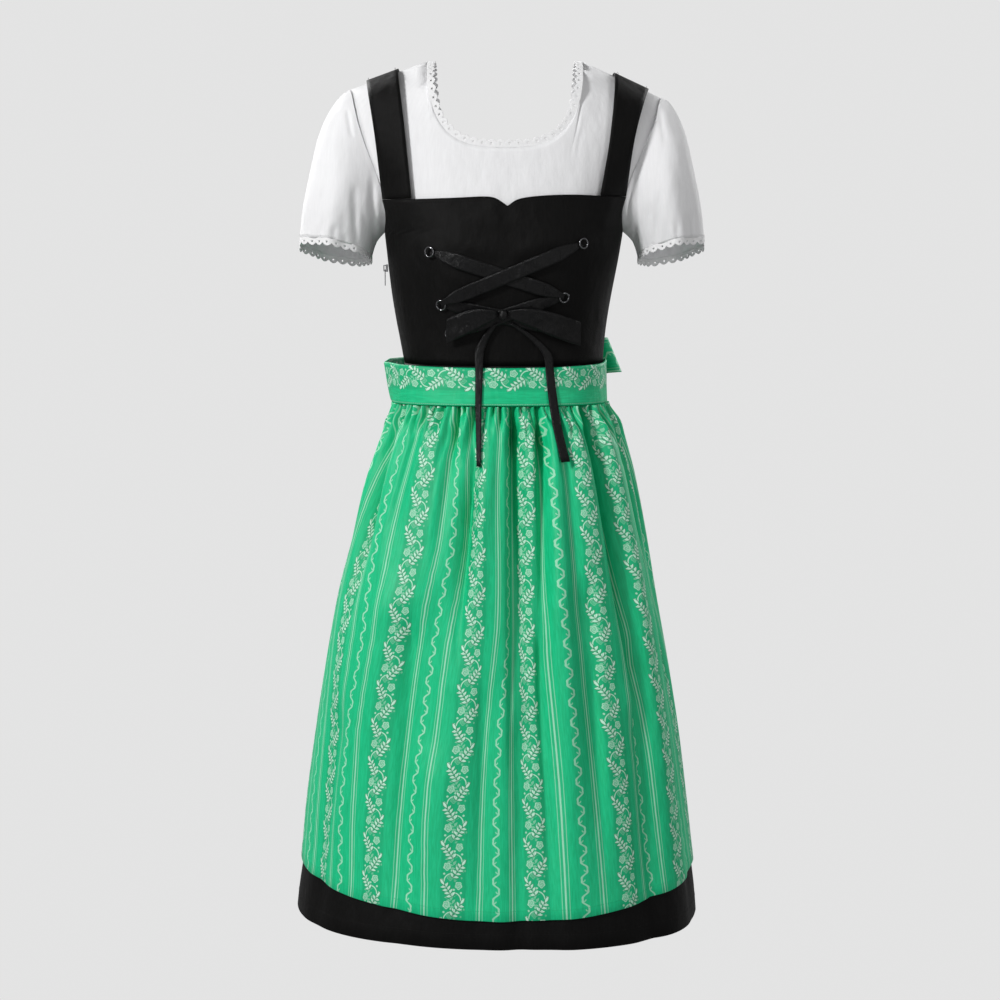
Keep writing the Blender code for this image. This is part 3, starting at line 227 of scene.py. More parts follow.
# Gathers under the apron's band, by angle in degrees; each is a narrow valley that fades out downwards.
Gather = namedtuple("Gather", "angle_top angle_end half_width depth end")
APRON_GATHERS = (
    Gather(-101.0, -101.5, 1.3, 0.0020, -0.460),
    Gather(-96.0, -96.5, 1.2, 0.0024, -0.447),
    Gather(-90.5, -91.0, 1.4, 0.0028, -0.470),
    Gather(-86.0, -86.5, 1.2, 0.0018, -0.440),
    Gather(-81.5, -82.0, 1.4, 0.0028, -0.480),
    Gather(-76.0, -76.0, 1.2, 0.0026, -0.452),
    Gather(-71.0, -72.0, 1.3, 0.0022, -0.462),
    Gather(-66.0, -67.0, 1.2, 0.0022, -0.440),
    Gather(-56.0, -57.5, 1.3, 0.0024, -0.452),
    Gather(-51.0, -52.5, 1.3, 0.0022, -0.466),
    Gather(-46.0, -47.0, 1.1, 0.0018, -0.437),
    Gather(-40.0, -42.0, 1.3, 0.0032, -0.452),
    Gather(-35.5, -36.2, 1.1, 0.0020, -0.440),
    Gather(-31.0, -31.8, 1.2, 0.0024, -0.452),
    Gather(-23.6, -25.0, 1.5, 0.0036, -0.480),
    Gather(-20.0, -20.6, 1.0, 0.0022, -0.432),
    Gather(-15.5, -16.8, 1.6, 0.0038, -0.492),
    Gather(-9.2, -9.8, 1.2, 0.0024, -0.452),
    Gather(-5.6, -6.0, 1.0, 0.0018, -0.436),
    Gather(-2.2, -2.4, 1.1, 0.0028, -0.442),
    Gather(0.8, 0.9, 0.9, 0.0020, -0.431),
    Gather(3.8, 4.6, 1.5, 0.0038, -0.486),
    Gather(8.8, 9.6, 1.1, 0.0024, -0.437),
    Gather(13.0, 14.0, 1.2, 0.0022, -0.452),
    Gather(17.4, 18.4, 1.5, 0.0040, -0.505),
    Gather(21.6, 22.6, 1.1, 0.0022, -0.441),
    Gather(26.0, 27.2, 1.2, 0.0022, -0.455),
    Gather(31.4, 32.6, 1.0, 0.0020, -0.436),
    Gather(34.4, 35.8, 1.2, 0.0030, -0.450),
    Gather(37.4, 39.4, 1.3, 0.0028, -0.470),
    Gather(42.6, 45.2, 1.5, 0.0038, -0.494),
    Gather(47.2, 50.2, 1.4, 0.0034, -0.505),
    Gather(51.2, 53.2, 1.1, 0.0026, -0.442),
    Gather(57.0, 59.4, 1.4, 0.0030, -0.466),
    Gather(62.0, 63.6, 1.2, 0.0024, -0.452),
    Gather(67.2, 68.4, 1.3, 0.0026, -0.462),
    Gather(72.6, 73.8, 1.2, 0.0022, -0.446),
    Gather(78.0, 79.4, 1.4, 0.0030, -0.476),
    Gather(83.0, 84.0, 1.2, 0.0020, -0.440),
    Gather(88.0, 89.0, 1.4, 0.0028, -0.468),
    Gather(93.5, 94.0, 1.2, 0.0022, -0.450),
    Gather(99.0, 99.5, 1.3, 0.0024, -0.462),
)

BAND = (
    Section(-0.4152, 0.1390, 0.1255, 0.0985, 0.0960),
    Section(-0.3640, 0.1435, 0.1245, 0.0912, 0.0860),
)
BAND_MIDDLE = -0.3920
KNOT_HALF_ANGLE = 6.2
TIE_HALF_HEIGHT_AT_KNOT = 0.0130
TIE_RISE_AT_KNOT = 0.0080
BowRow = namedtuple("BowRow", "share across behind height half_height")
BOW_LOOP = (
    BowRow(0.00, 0.0142, 0.1080, -0.3905, 0.0095),
    BowRow(0.09, 0.0400, 0.1260, -0.3820, 0.0175),
    BowRow(0.21, 0.0750, 0.1330, -0.3740, 0.0215),
    BowRow(0.33, 0.1100, 0.1230, -0.3670, 0.0225),
    BowRow(0.43, 0.1350, 0.1040, -0.3630, 0.0220),
    BowRow(0.50, 0.1440, 0.0860, -0.3620, 0.0215),
    BowRow(0.53, 0.1380, 0.0800, -0.3620, 0.0215),
    BowRow(0.60, 0.1200, 0.0880, -0.3640, 0.0215),
    BowRow(0.71, 0.0900, 0.1040, -0.3690, 0.0210),
    BowRow(0.83, 0.0550, 0.1110, -0.3780, 0.0185),
    BowRow(0.93, 0.0300, 0.1075, -0.3855, 0.0150),
    BowRow(1.00, 0.0142, 0.1035, -0.3905, 0.0095),
)
LOOP_REACH = {1: 0.975, -1: 0.84}
LOOP_LEAN, LOOP_LEANS_OVER = 0.0090, 0.060
TAIL_ANGLE_TOP, TAIL_ANGLE_END = 4.4, 14.0
TAIL_TOP, TAIL_END = -0.4096, {1: -0.7950, -1: -0.8250}
TAIL_HALF_WIDTH, TAIL_LIFT, TAIL_RISE_AT_KNOT = 0.0215, 0.0050, 0.0035

RING_OUTER, RING_WIRE = 0.0136, 0.0022
Ring = namedtuple("Ring", "across height lift")
RINGS = {
    (1, 1): Ring(0.0910, -0.2210, 0.0043),
    (1, -1): Ring(-0.0880, -0.2310, 0.0043),
    (2, 1): Ring(0.0690, -0.2840, 0.0043),
    (2, -1): Ring(-0.0750, -0.2930, 0.0043),
    (3, 1): Ring(0.0650, -0.3230, 0.0032),
    (3, -1): Ring(-0.0650, -0.3280, 0.0032),
}

ZIP_TOP, ZIP_END = -0.2520, -0.3655
ZIP_HALF_WIDTH = 0.0025

FRONT, BACK = "front", "back"
SIDES = (("left", 1), ("right", -1))


# ------------------------------------------------------------------ reading the tables
def between(rows, place):
    """The row at any place along a table's first column, on a smooth curve through its rows."""
    place = min(max(place, rows[0][0]), rows[-1][0])
    after = next(i for i in range(1, len(rows)) if place <= rows[i][0])
    previous, low = rows[max(after - 2, 0)], rows[after - 1]
    high, following = rows[after], rows[min(after + 1, len(rows) - 1)]
    span = high[0] - low[0]
    t = (place - low[0]) / span
    values = [place]
    for a, b, c, d in zip(previous[1:], low[1:], high[1:], following[1:]):
        rise_low = (c - a) / (high[0] - previous[0]) * span
        rise_high = (d - b) / (following[0] - low[0]) * span
        values.append(
            b * (1 + 2 * t) * (1 - t) ** 2
            + rise_low * t * (1 - t) ** 2
            + c * t * t * (3 - 2 * t)
            + rise_high * t * t * (t - 1)
        )
    return type(low)(*values)


def mix(a, b, share):
    """The value that lies this share of the way from a to b."""
    return a + (b - a) * share


def ease(share):
    """A soft start and end between 0 and 1, and level beyond them."""
    share = min(max(share, 0.0), 1.0)
    return share * share * (3 - 2 * share)


def fullness(angle):
    """How much fuller than an ellipse the body's section is at this angle."""
    return 1 + SQUARENESS * math.sin(2 * angle) ** 2


def level_point(rows, height, angle, lift):
    """A point of a level section; the angle runs from the middle of the front towards the wearer's left."""
    section = between(rows, height)
    width = section.left if math.sin(angle) > 0 else section.right
    depth = section.front if math.cos(angle) > 0 else section.back
    out_x, out_y = (width + lift) * fullness(angle), (depth + lift) * fullness(angle)
    return Vector((out_x * math.sin(angle), -out_y * math.cos(angle), height))


def shoulder_height(x):
    """The height of the shoulder's slope at this distance across."""
    slope = SHOULDER_SLOPE[1 if x > 0 else -1]
    return NECK_POINT_HEIGHT - slope * max(abs(x) - NECK_HALF_WIDTH, 0)


def drop_of(below):
    """How far under the shoulder a point lies, from its distance down the cloth."""
    if below < SHOULDER_ROLL * math.pi / 2:
        return SHOULDER_ROLL * (1 - math.cos(below / SHOULDER_ROLL))
    return below - SHOULDER_ROLL * (math.pi / 2 - 1)


def below_of(drop):
    """The distance down the cloth, from how far under the shoulder a point lies."""
    if drop < SHOULDER_ROLL:
        return SHOULDER_ROLL * math.acos(1 - max(drop, 0) / SHOULDER_ROLL)
    return drop + SHOULDER_ROLL * (math.pi / 2 - 1)


def angle_at(rows, x, height):
    """The angle round a section at which its surface lies this far across."""
    section = between(rows, height)
    width = section.left if x > 0 else section.right
    angle = 0.0
    for _ in range(12):
        angle = math.asin(min(max(x / (width * fullness(angle)), -1.0), 1.0))
    return angle


def place(face, x, height):
    """The angle and the distance down the cloth of a point that is given as seen from the front."""
    angle = angle_at(FIGURE, x, height)
    if face == BACK:
        angle = math.pi - angle
    return Vector((angle, below_of(shoulder_height(x) - height)))


def body_point(spot, lift=0.0):
    """The point on the figure at a spot, which is an angle and a distance down the cloth."""
    angle, below = spot
    roll = min(below / SHOULDER_ROLL, math.pi / 2)
    height = -below
    for _ in range(6):
        point = level_point(FIGURE, height, angle, lift)
        height = shoulder_height(point.x) - drop_of(below)
    if math.cos(angle) > 0:
        across = (abs(point.x) - BUST_ACROSS) / BUST_WIDTH
        up = (height - BUST_HEIGHT) / BUST_TALL
        point.y -= BUST_RISE * math.exp(-across * across - up * up)
    return Vector((point.x, point.y * math.sin(roll), height + lift * math.cos(roll)))


def front_point(x, height, lift):
    """The point of the front at this distance across and this height."""
    return body_point(place(FRONT, x, height), lift)


def neckline(face, share, inset=0.0):
    """Across and height of the neckline, from the right neck point (0) to the left (1), moved inwards."""
    depth = NECKLINE_FRONT_DEPTH if face == FRONT else NECKLINE_BACK_DEPTH
    turn = math.pi * (1 - share)
    half = NECK_HALF_WIDTH - inset
    x = half * math.copysign(abs(math.cos(turn)) ** (2 / NECKLINE_POWER), math.cos(turn))
    fall = (depth - inset) * math.sin(turn) ** (2 / NECKLINE_POWER)
    return x, NECK_POINT_HEIGHT - fall


def neck_edge_point(turn, inset):
    """A point beside the neckline; turn runs from 0 at the right neck point by the front to 1."""
    face, share = (FRONT, 2 * turn) if turn < 0.5 else (BACK, 2 - 2 * turn)
    x, height = neckline(face, share, inset)
    spot = place(face, x, height)
    if min(turn % 0.5, 0.5 - turn % 0.5) < 1e-6:
        spot = Vector((spot[0], 0.0))
    return body_point(spot, BLOUSE_LIFT)


def sleeve_hem_point(side, turn):
    """A point of the sleeve's hem; turn runs round it from the underarm by the front."""
    row, angle = SLEEVE_HEM, 2 * math.pi * turn
    outer = Vector((row.outer_x * SLEEVE_REACH[side], 0.0, row.outer_z))
    inner = Vector((row.inner_x, 0.0, row.inner_z))
    swell = 1 + SLEEVE_FOLD_DEPTH * math.cos(SLEEVE_FOLDS * angle + 1.0) / row.half_depth
    swell = mix(swell, 1.0, ease(2 * abs(turn - 0.5) * 2.2 - 1.2))
    point = (outer + inner) / 2 - (outer - inner) / 2 * math.cos(angle) * swell
    point.y = -row.half_depth * math.sin(angle) * swell
    point.z -= SLEEVE_HEM_TILT * point.y / row.half_depth
    return Vector((side * point.x, point.y, point.z))


# ------------------------------------------------------------------ the hanging cloth
def trough(height, angle, folds=FOLDS):
    """How deep the hanging cloth's large folds are here."""
    depth = 0.0
    degrees = math.degrees(angle)
    for fold in folds:
        if not fold.end < height < fold.start:
            continue
        down = (APRON_TOP - height) / (APRON_TOP - SKIRT_HEM)
        apart = (degrees - mix(fold.angle_top, fold.angle_hem, down) + 180) % 360 - 180
        opening = ease((fold.start - height) / FOLD_OPENS_OVER)
        closing = ease((height - fold.end) / (fold.start - fold.end) * FOLD_FADES_FROM)
        depth += fold.depth * opening * closing * math.exp(-((apart / fold.half_width) ** 2))
    return depth


def hanging_point(height, angle, lift):
    """A point of the hanging cloth with its large folds."""
    return level_point(HANG, height, angle, lift - trough(height, angle))


def pleat_depth(pleat, height, degrees):
    """How deep this pleat is here, for one angle or an array of them."""
    if not pleat.end < height < pleat.start:
        return 0.0
    down = (APRON_TOP - height) / (APRON_TOP - SKIRT_HEM)
    apart = (degrees - mix(pleat.angle_top, pleat.angle_hem, down) + 180) % 360 - 180
    fade = ease((pleat.start - height) / FOLD_OPENS_OVER)
    fade *= ease((height - pleat.end) / (pleat.start - pleat.end) * FOLD_FADES_FROM)
    width = np.where(apart < 0, pleat.left_width, pleat.right_width)
    return pleat.depth * fade * np.exp(-((apart / width) ** 2))


def creased_point(height, angle, lift):
    """A point of the hanging cloth with its pleats and finer folds too."""
    pleated = sum(float(pleat_depth(pleat, height, math.degrees(angle))) for pleat in PLEATS)
    return hanging_point(height, angle, lift - trough(height, angle, FINER_FOLDS) - pleated)


def gather_depth(gathers, top, height, degrees):
    """How deep the small gathers under a seam are here, between soft ridges."""
    depth = 0.0
    for row in gathers:
        if height < row.end:
            continue
        down = (top - height) / (top - row.end)
        apart = degrees - mix(row.angle_top, row.angle_end, down)
        if abs(apart) > 4 * row.half_width:
            continue
        width = row.half_width * (1 + 0.9 * down)
        fade = ease((1 - down) * GATHERS_FADE_FROM)
        depth += row.depth * fade * math.exp(-((apart / width) ** 2))
        depth -= row.depth * 0.30 * fade * math.exp(-(((abs(apart) - 2.0 * width) / width) ** 2))
    return depth


# ------------------------------------------------------------------ shader building
class Term:
    """A number that changes over a surface, worked out by a chain of shader nodes."""

    def __init__(self, tree, socket):
        self.tree, self.socket = tree, socket

    def reckon(self, kind, *others):
        node = self.tree.nodes.new("ShaderNodeMath")
        node.operation = kind
        self.tree.links.new(self.socket, node.inputs[0])
        for other, socket in zip(others, node.inputs[1:]):
            if isinstance(other, Term):
                self.tree.links.new(other.socket, socket)
            else:
                socket.default_value = other
        return Term(self.tree, node.outputs[0])

    def __add__(self, other):
        return self.reckon("ADD", other)

    def __sub__(self, other):
        return self.reckon("SUBTRACT", other)

    def __mul__(self, other):
        return self.reckon("MULTIPLY", other)

    def __truediv__(self, other):
        return self.reckon("DIVIDE", other)

    def __pow__(self, other):
        return self.reckon("POWER", other)

    def __abs__(self):
        return self.reckon("ABSOLUTE")

    def sine(self):
        return self.reckon("SINE")

    def root(self):
        return self.reckon("SQRT")

    def turn_from(self, other):
        return self.reckon("ARCTAN2", other)

    def repeat(self, length):
        return self.reckon("FLOORED_MODULO", length)

    def least(self, other):
        return self.reckon("MINIMUM", other)

    def most(self, other):
        return self.reckon("MAXIMUM", other)

    def soft_step(self, low, high):
        """0 below low, 1 above high; the other way round if low is the greater."""
        node = self.tree.nodes.new("ShaderNodeMapRange")
        node.interpolation_type = "SMOOTHSTEP"
        self.tree.links.new(self.socket, node.inputs[0])
        bounds = (low, high, 0.0, 1.0) if low < high else (high, low, 1.0, 0.0)
        for value, socket in zip(bounds, node.inputs[1:5]):
            socket.default_value = value
        return Term(self.tree, node.outputs[0])


def shader_group(name, inputs, outputs, build):
    """A node group; build gets its tree and its inputs as Terms, and returns a Term for each output."""
    tree = bpy.data.node_groups.new(name, "ShaderNodeTree")
    for title, value in inputs.items():
        socket = tree.interface.new_socket(title, in_out="INPUT", socket_type="NodeSocketFloat")
        socket.default_value = value
    for title in outputs:
        tree.interface.new_socket(title, in_out="OUTPUT", socket_type="NodeSocketFloat")
    entry, ending = tree.nodes.new("NodeGroupInput"), tree.nodes.new("NodeGroupOutput")
    made = build(tree, *[Term(tree, entry.outputs[title]) for title in inputs])
    for title, term in zip(outputs, made):
        tree.links.new(term.socket, ending.inputs[title])
    return tree


def placed(tree, group, outputs, **values):
    """The group's outputs, with Terms or numbers for its inputs."""
    node = tree.nodes.new("ShaderNodeGroup")
    node.node_tree = group
    for title, value in values.items():
        socket = node.inputs[title.replace("_", " ")]
        if isinstance(value, Term):
            tree.links.new(value.socket, socket)
        else:
            socket.default_value = value
    return [Term(tree, node.outputs[title]) for title in outputs]


def coordinates(tree, source, scale=1.0):
    """The three coordinates of a UV map or of the object, as Terms, times a scale."""
    if source == "object":
        socket = tree.nodes.new("ShaderNodeTexCoord").outputs["Object"]
    else:
        node = tree.nodes.new("ShaderNodeUVMap")
        node.uv_map = source
        socket = node.outputs["UV"]
    parted = tree.nodes.new("ShaderNodeSeparateXYZ")
    tree.links.new(socket, parted.inputs[0])
    return [Term(tree, parted.outputs[i]) * scale for i in range(3)]


def noise(tree, x, y, z, detail=2.0):
    """Noise from 0 to 1 at a place given by three Terms or numbers."""
    joined = tree.nodes.new("ShaderNodeCombineXYZ")
    for term, socket in zip((x, y, z), joined.inputs):
        if isinstance(term, Term):
            tree.links.new(term.socket, socket)
        else:
            socket.default_value = term
    node = tree.nodes.new("ShaderNodeTexNoise")
    tree.links.new(joined.outputs[0], node.inputs["Vector"])
    node.inputs["Scale"].default_value = 1.0
    node.inputs["Detail"].default_value = detail
    return Term(tree, node.outputs["Fac"])


def tinted(tree, below, above, share):
    """A colour between two, each a triple or a socket, by a share from 0 to 1."""
    node = tree.nodes.new("ShaderNodeMix")
    node.data_type = "RGBA"
    for colour, socket in ((below, node.inputs[6]), (above, node.inputs[7])):
        if isinstance(colour, tuple):
            socket.default_value = (*colour, 1.0)
        else:
            tree.links.new(colour, socket)
    tree.links.new(share.socket, node.inputs[0])
    return node.outputs[2]


# ------------------------------------------------------------------ effects that several finishes share
def build_weave(tree, across, along, threads, wander):
    """Plain weave: threads cross over and under each other, a little uneven in place."""
    wobble = noise(tree, across * 90.0, along * 90.0, 0.0) - 0.5
    turn_across = (across + wobble * wander) * threads * (2 * math.pi)
    turn_along = (along + wobble * wander) * threads * (2 * math.pi)
    height = turn_across.sine() * turn_along.sine() * 0.5 + 0.5
    slubs = noise(tree, across * 700.0, along * 60.0, 0.5, 3.0)
    return height, slubs


weave = shader_group(
    "weave",
    {"Across": 0.0, "Along": 0.0, "Threads per metre": 1600.0, "Wander": 0.0002},
    ("Height", "Slubs"),
    build_weave,
)


def build_crumple(tree, x, y, z, size, stretch):
    """Soft creases of worn cloth, longer than they are wide."""
    coarse = noise(tree, x / size, y / size, z / size / stretch, 2.0)
    fine = noise(tree, x / size * 3.1, y / size * 3.1, z / size * 3.1 / stretch, 2.0)
    return (coarse * 0.75 + fine * 0.25,)


crumple = shader_group(
    "crumple",
    {"X": 0.0, "Y": 0.0, "Z": 0.0, "Size": 0.02, "Stretch": 2.0},
    ("Height",),
    build_crumple,
)

# The print's sizes are in millimetres.
REPEAT = 115.0
VINE_REPEAT = 47.0
LEAF_SPACING, LEAF_LENGTH, LEAF_HALF_WIDTH, LEAF_PAIRS = 4.6, 9.0, 1.62, 4
SPRIG_LEAN = math.radians(33)
SPRIG_BASE = 25.0
ROSE_ASIDE, ROSE_BELOW, ROSE_RADIUS = -6.6, 9.2, 4.3
BUDS = ((9.6, -5.5), (8.2, 10.8), (2.6, 17.4), (-1.0, 14.2), (12.6, 2.0))
TENDRIL_RADIUS = 9.8
BEHIND, BRIGHT_LINE, FINE_LINES, SCROLL = 0.34, 0.58, 0.36, 0.56  # how strongly each is printed
SCROLL_WAVE, SCROLL_REACH, CURL_RADIUS = 24.0, 4.4, 2.0


def lens(along, away, length, half_width):
    """How far inside a pointed leaf a place is, in millimetres."""
    on_leaf = along.most(0.0).least(length)
    return (on_leaf * (math.pi / length)).sine() * half_width - abs(away) - abs(along - on_leaf)


def build_sprig(tree, across, along):
    """A leafy sprig that leans to one side, with a rose below it and a tendril to the next sprig."""
    down = along.repeat(VINE_REPEAT) - SPRIG_BASE
    way = down * -math.cos(SPRIG_LEAN) - across * math.sin(SPRIG_LEAN)
    aside = abs(across * math.cos(SPRIG_LEAN) - down * math.sin(SPRIG_LEAN))
    stem_length = LEAF_SPACING * LEAF_PAIRS
    step = way.repeat(LEAF_SPACING) - 0.8
    out, off = (step + aside) * math.sqrt(0.5), (step - aside) * math.sqrt(0.5)
    on_stem = way.soft_step(-0.4, 0.2) * way.soft_step(stem_length + 0.6, stem_length)
    pairs = lens(out, off, LEAF_LENGTH, LEAF_HALF_WIDTH)
    tip = lens(way - (stem_length - 0.5), aside, LEAF_LENGTH, LEAF_HALF_WIDTH)
    leaves = (pairs.soft_step(-0.1, 0.25) * on_stem).most(tip.soft_step(-0.1, 0.25))
    rims = (pairs.soft_step(-0.95, -0.30) * on_stem).most(tip.soft_step(-0.95, -0.30))
    veins = abs(off).soft_step(0.30, 0.10) * on_stem
    right, low = across - ROSE_ASIDE, down - ROSE_BELOW
    radius = (right * right + low * low * 0.8).root()
    turn = low.turn_from(right)
    petals = (turn * 5.0).sine() * 0.45 + ROSE_RADIUS
    inside_rose = (petals - radius).soft_step(-0.1, 0.3)
    rose_edge = abs(petals - radius - 0.35).soft_step(0.75, 0.35)
    whorl = (turn * 2.0 + radius * 2.6).sine().soft_step(0.15, 0.75)
    rose = inside_rose * (whorl * 0.35 + 0.30).most(rose_edge * 0.75)
    arc = abs((across * across + (down - 4.0) ** 2.0).root() - TENDRIL_RADIUS)
    tendril = arc.soft_step(0.85, 0.45) * across.soft_step(-0.2, 0.4) * down.soft_step(4.5, 3.8)
    pale = leaves.most(rose).most(tendril * 0.8)
    for bud_across, bud_down in BUDS:
        from_bud = ((across - bud_across) ** 2.0 + (down - bud_down) ** 2.0).root()
        pale = pale.most(from_bud.soft_step(1.6, 1.0) * 0.7)
    lines = (veins * leaves).most((rims - leaves).most(0.0))
    return pale, lines


sprig = shader_group("leaf sprig and rose", {"Across": 0.0, "Along": 0.0}, ("Pale", "Lines"), build_sprig)


def build_print(tree, across, along):
    """The apron's stripes: a leafy vine, three fine lines, a wavy scroll, and the three lines again."""
    place_in = (across + REPEAT / 2).repeat(REPEAT) - REPEAT / 2
    left, left_lines = placed(tree, sprig, ("Pale", "Lines"), Across=place_in + 1.0, Along=along)
    mirrored = place_in * -1.0 - 1.2
    right, right_lines = placed(
        tree, sprig, ("Pale", "Lines"), Across=mirrored, Along=along - VINE_REPEAT / 2
    )
    behind, _ = placed(
        tree, sprig, ("Pale", "Lines"), Across=place_in * 1.15 - 2.5, Along=along - VINE_REPEAT * 0.27
    )
    in_vine = abs(place_in).soft_step(20.5, 19.5)
    beside = (across + REPEAT * 0.01).repeat(REPEAT) - REPEAT * 0.5
    off_line = abs(abs(beside) - REPEAT * 0.20)
    bright_line = off_line.soft_step(1.25, 0.70) * BRIGHT_LINE
    fine_lines = abs(off_line - 4.2).soft_step(0.70, 0.30) * FINE_LINES
    line_edges = abs(off_line - 1.9).soft_step(0.75, 0.35)
    turn = along * (2 * math.pi / SCROLL_WAVE)
    wave = turn.sine() + (turn * 3.0).sine() * 0.14
    slope = (turn + math.pi / 2).sine() * (SCROLL_REACH * 2 * math.pi / SCROLL_WAVE)
    scroll = (abs(beside - wave * SCROLL_REACH) / (slope * slope + 1.0).root()).soft_step(1.45, 0.85)
    curl_across = beside - wave * (SCROLL_REACH / 2)
    curl_low = along.repeat(SCROLL_WAVE / 2) - SCROLL_WAVE / 4
    curl = abs((curl_across * curl_across + curl_low * curl_low).root() - CURL_RADIUS).soft_step(1.00, 0.50)
    scroll = scroll.most(curl * curl_low.soft_step(-0.6, 0.4) * 0.8) * SCROLL
    vines = left.most(right).most(behind * BEHIND) * in_vine
    pale = vines.most(bright_line).most(fine_lines).most(scroll)
    lines = (left_lines.most(right_lines) * in_vine).most(line_edges * 0.25)
    # The third output marks the green round each vine: partly printed that way, partly painted shade of the
    # folds the vines hang in.
    return pale, lines, abs(place_in).soft_step(17.0, 13.0)


stripes = shader_group(
    "apron stripes", {"Across": 0.0, "Along": 0.0}, ("Pale", "Lines", "Vine ground and shade"), build_print
)


# ------------------------------------------------------------------ finishes
def new_finish(name, roughness, metallic=0.0, **constants):
    """A material with its Principled shader; constants are set on the shader's own sockets."""
    made = bpy.data.materials.new(name)
    made.use_nodes = True
    tree = made.node_tree
    shader = tree.nodes["Principled BSDF"]
    shader.inputs["Roughness"].default_value = roughness
    shader.inputs["Metallic"].default_value = metallic
    for title, value in constants.items():
        shader.inputs[title.replace("_", " ")].default_value = value
    return made, tree, shader


def raise_surface(tree, shader, *heights):
    """Bumps from pairs of a height Term and its distance in metres, one over the other."""
    before = None
    for height, distance in heights:
        bump = tree.nodes.new("ShaderNodeBump")
        bump.inputs["Distance"].default_value = distance
        bump.inputs["Strength"].default_value = 1.0
        tree.links.new(height.socket, bump.inputs["Height"])
        if before:
            tree.links.new(before.outputs[0], bump.inputs["Normal"])
        before = bump
    tree.links.new(before.outputs[0], shader.inputs["Normal"])


def cloth_finish(
    name, colours, roughness, threads, crease_size, crease_depth, sheen, stretch=2.0, specular=0.5
):
    """Woven cloth: two shades of its colour, mixed by its uneven threads and, as painted shade, by the
    height of its soft creases; its weave and its soft creases.
    """
    made, tree, shader = new_finish(
        name, roughness, Sheen_Weight=sheen, Sheen_Roughness=0.45, Specular_IOR_Level=specular
    )
    across, along, _ = coordinates(tree, "cloth")
    x, y, z = coordinates(tree, "object")
    height, slubs = placed(
        tree, weave, ("Height", "Slubs"), Across=across, Along=along, Threads_per_metre=threads
    )
    (creases,) = placed(
        tree, crumple, ("Height",), X=x, Y=y, Z=z, Size=crease_size, Stretch=stretch
    )
    # Tone: the uneven threads give real variation; the crease height adds painted shade in crease valleys
    # and painted light on their ridges.
    shade = (slubs * 0.6 + creases * 0.4).soft_step(0.25, 0.75)
    colour = tinted(tree, colours[0], colours[1], shade)
    tree.links.new(colour, shader.inputs["Base Color"])
    rough = slubs * 0.16 + (roughness - 0.08)
    tree.links.new(rough.socket, shader.inputs["Roughness"])
    raise_surface(tree, shader, (creases, crease_depth), (height, 0.00006))
    return made


def green_print_finish():
    """The apron's cloth: green, and smoother where it isn't printed with its pale stripes."""
    made, tree, shader = new_finish("green printed cotton", 0.42, Specular_IOR_Level=0.26)
    across, along, _ = coordinates(tree, "cloth")
    x, y, z = coordinates(tree, "object")
    pale, lines, shaded_vine_ground = placed(
        tree, stripes, ("Pale", "Lines", "Vine ground and shade"), Across=across * 1000.0, Along=along * 1000.0
    )
    height, slubs = placed(
        tree, weave, ("Height", "Slubs"), Across=across, Along=along, Threads_per_metre=2200.0
    )
    (creases,) = placed(tree, crumple, ("Height",), X=x, Y=y, Z=z, Size=0.030, Stretch=2.6)
    green = tinted(tree, GREEN_DARK, GREEN_LIGHT, slubs.soft_step(0.25, 0.75))
    # Green round each vine is made deeper: partly printed that way, partly painted shade of the folds the
    # vines hang in.
    green = tinted(tree, green, GREEN_VINE_GROUND_AND_SHADE, shaded_vine_ground * 0.50)
    inked = tinted(tree, green, PRINT_LINE, lines * 0.75)
    printed = tinted(tree, inked, PRINT_PALE, (pale - lines * 0.55).most(0.0) * 0.92)
    tree.links.new(printed, shader.inputs["Base Color"])
    rough = pale * 0.14 + slubs * 0.10 + 0.34
    tree.links.new(rough.socket, shader.inputs["Roughness"])
    raise_surface(tree, shader, (creases, 0.0034), (height, 0.00004))
    return made


GREEN_DARK, GREEN_LIGHT = (0.005, 0.455, 0.190), (0.010, 0.560, 0.250)
# Deeper green round the vines: partly printed, partly painted shade of the folds.
GREEN_VINE_GROUND_AND_SHADE = (0.004, 0.330, 0.140)
PRINT_PALE, PRINT_LINE = (0.60, 0.88, 0.71), (0.09, 0.21, 0.14)

white_cotton = cloth_finish(
    "white cotton",
    ((0.79, 0.79, 0.80), (0.84, 0.84, 0.85)),
    roughness=0.78,
    threads=1800.0,
    crease_size=0.030,
    crease_depth=0.0030,
    sheen=0.25,
)
white_lace = cloth_finish(
    "white eyelet lace",
    ((0.80, 0.80, 0.81), (0.86, 0.86, 0.86)),
    roughness=0.80,
    threads=2600.0,
    crease_size=0.010,
    crease_depth=0.0004,
    sheen=0.20,
)
black_satin_cotton = cloth_finish(
    "black satin cotton",
    ((0.0032, 0.0031, 0.0030), (0.0056, 0.0054, 0.0053)),
    roughness=0.48,
    threads=2000.0,
    crease_size=0.045,
    crease_depth=0.0050,
    sheen=0.0,
    stretch=1.6,
    specular=0.08,
)
black_satin_ribbon = cloth_finish(
    "black satin ribbon",
    ((0.0032, 0.0032, 0.0034), (0.0055, 0.0055, 0.0058)),
    roughness=0.30,
    threads=3000.0,
    crease_size=0.020,
    crease_depth=0.0040,
    sheen=0.0,
    stretch=1.4,
    specular=0.20,
)
green_print = green_print_finish()


def metal_finish(name, light, dark, roughness):
    """Metal with faint wear: brighter and smoother where it rubs."""
    made, tree, shader = new_finish(name, roughness, metallic=1.0)
    x, y, z = coordinates(tree, "object", 900.0)
    wear = noise(tree, x, y, z, 3.0)
    tree.links.new(tinted(tree, dark, light, wear.soft_step(0.3, 0.7)), shader.inputs["Base Color"])
    rough = wear * -0.18 + (roughness + 0.09)
    tree.links.new(rough.socket, shader.inputs["Roughness"])
    raise_surface(tree, shader, (wear, 0.00002))
    return made


gunmetal = metal_finish("gunmetal", (0.24, 0.24, 0.25), (0.08, 0.08, 0.085), 0.20)
zip_metal = metal_finish("zip metal", (0.50, 0.50, 0.51), (0.34, 0.34, 0.35), 0.32)


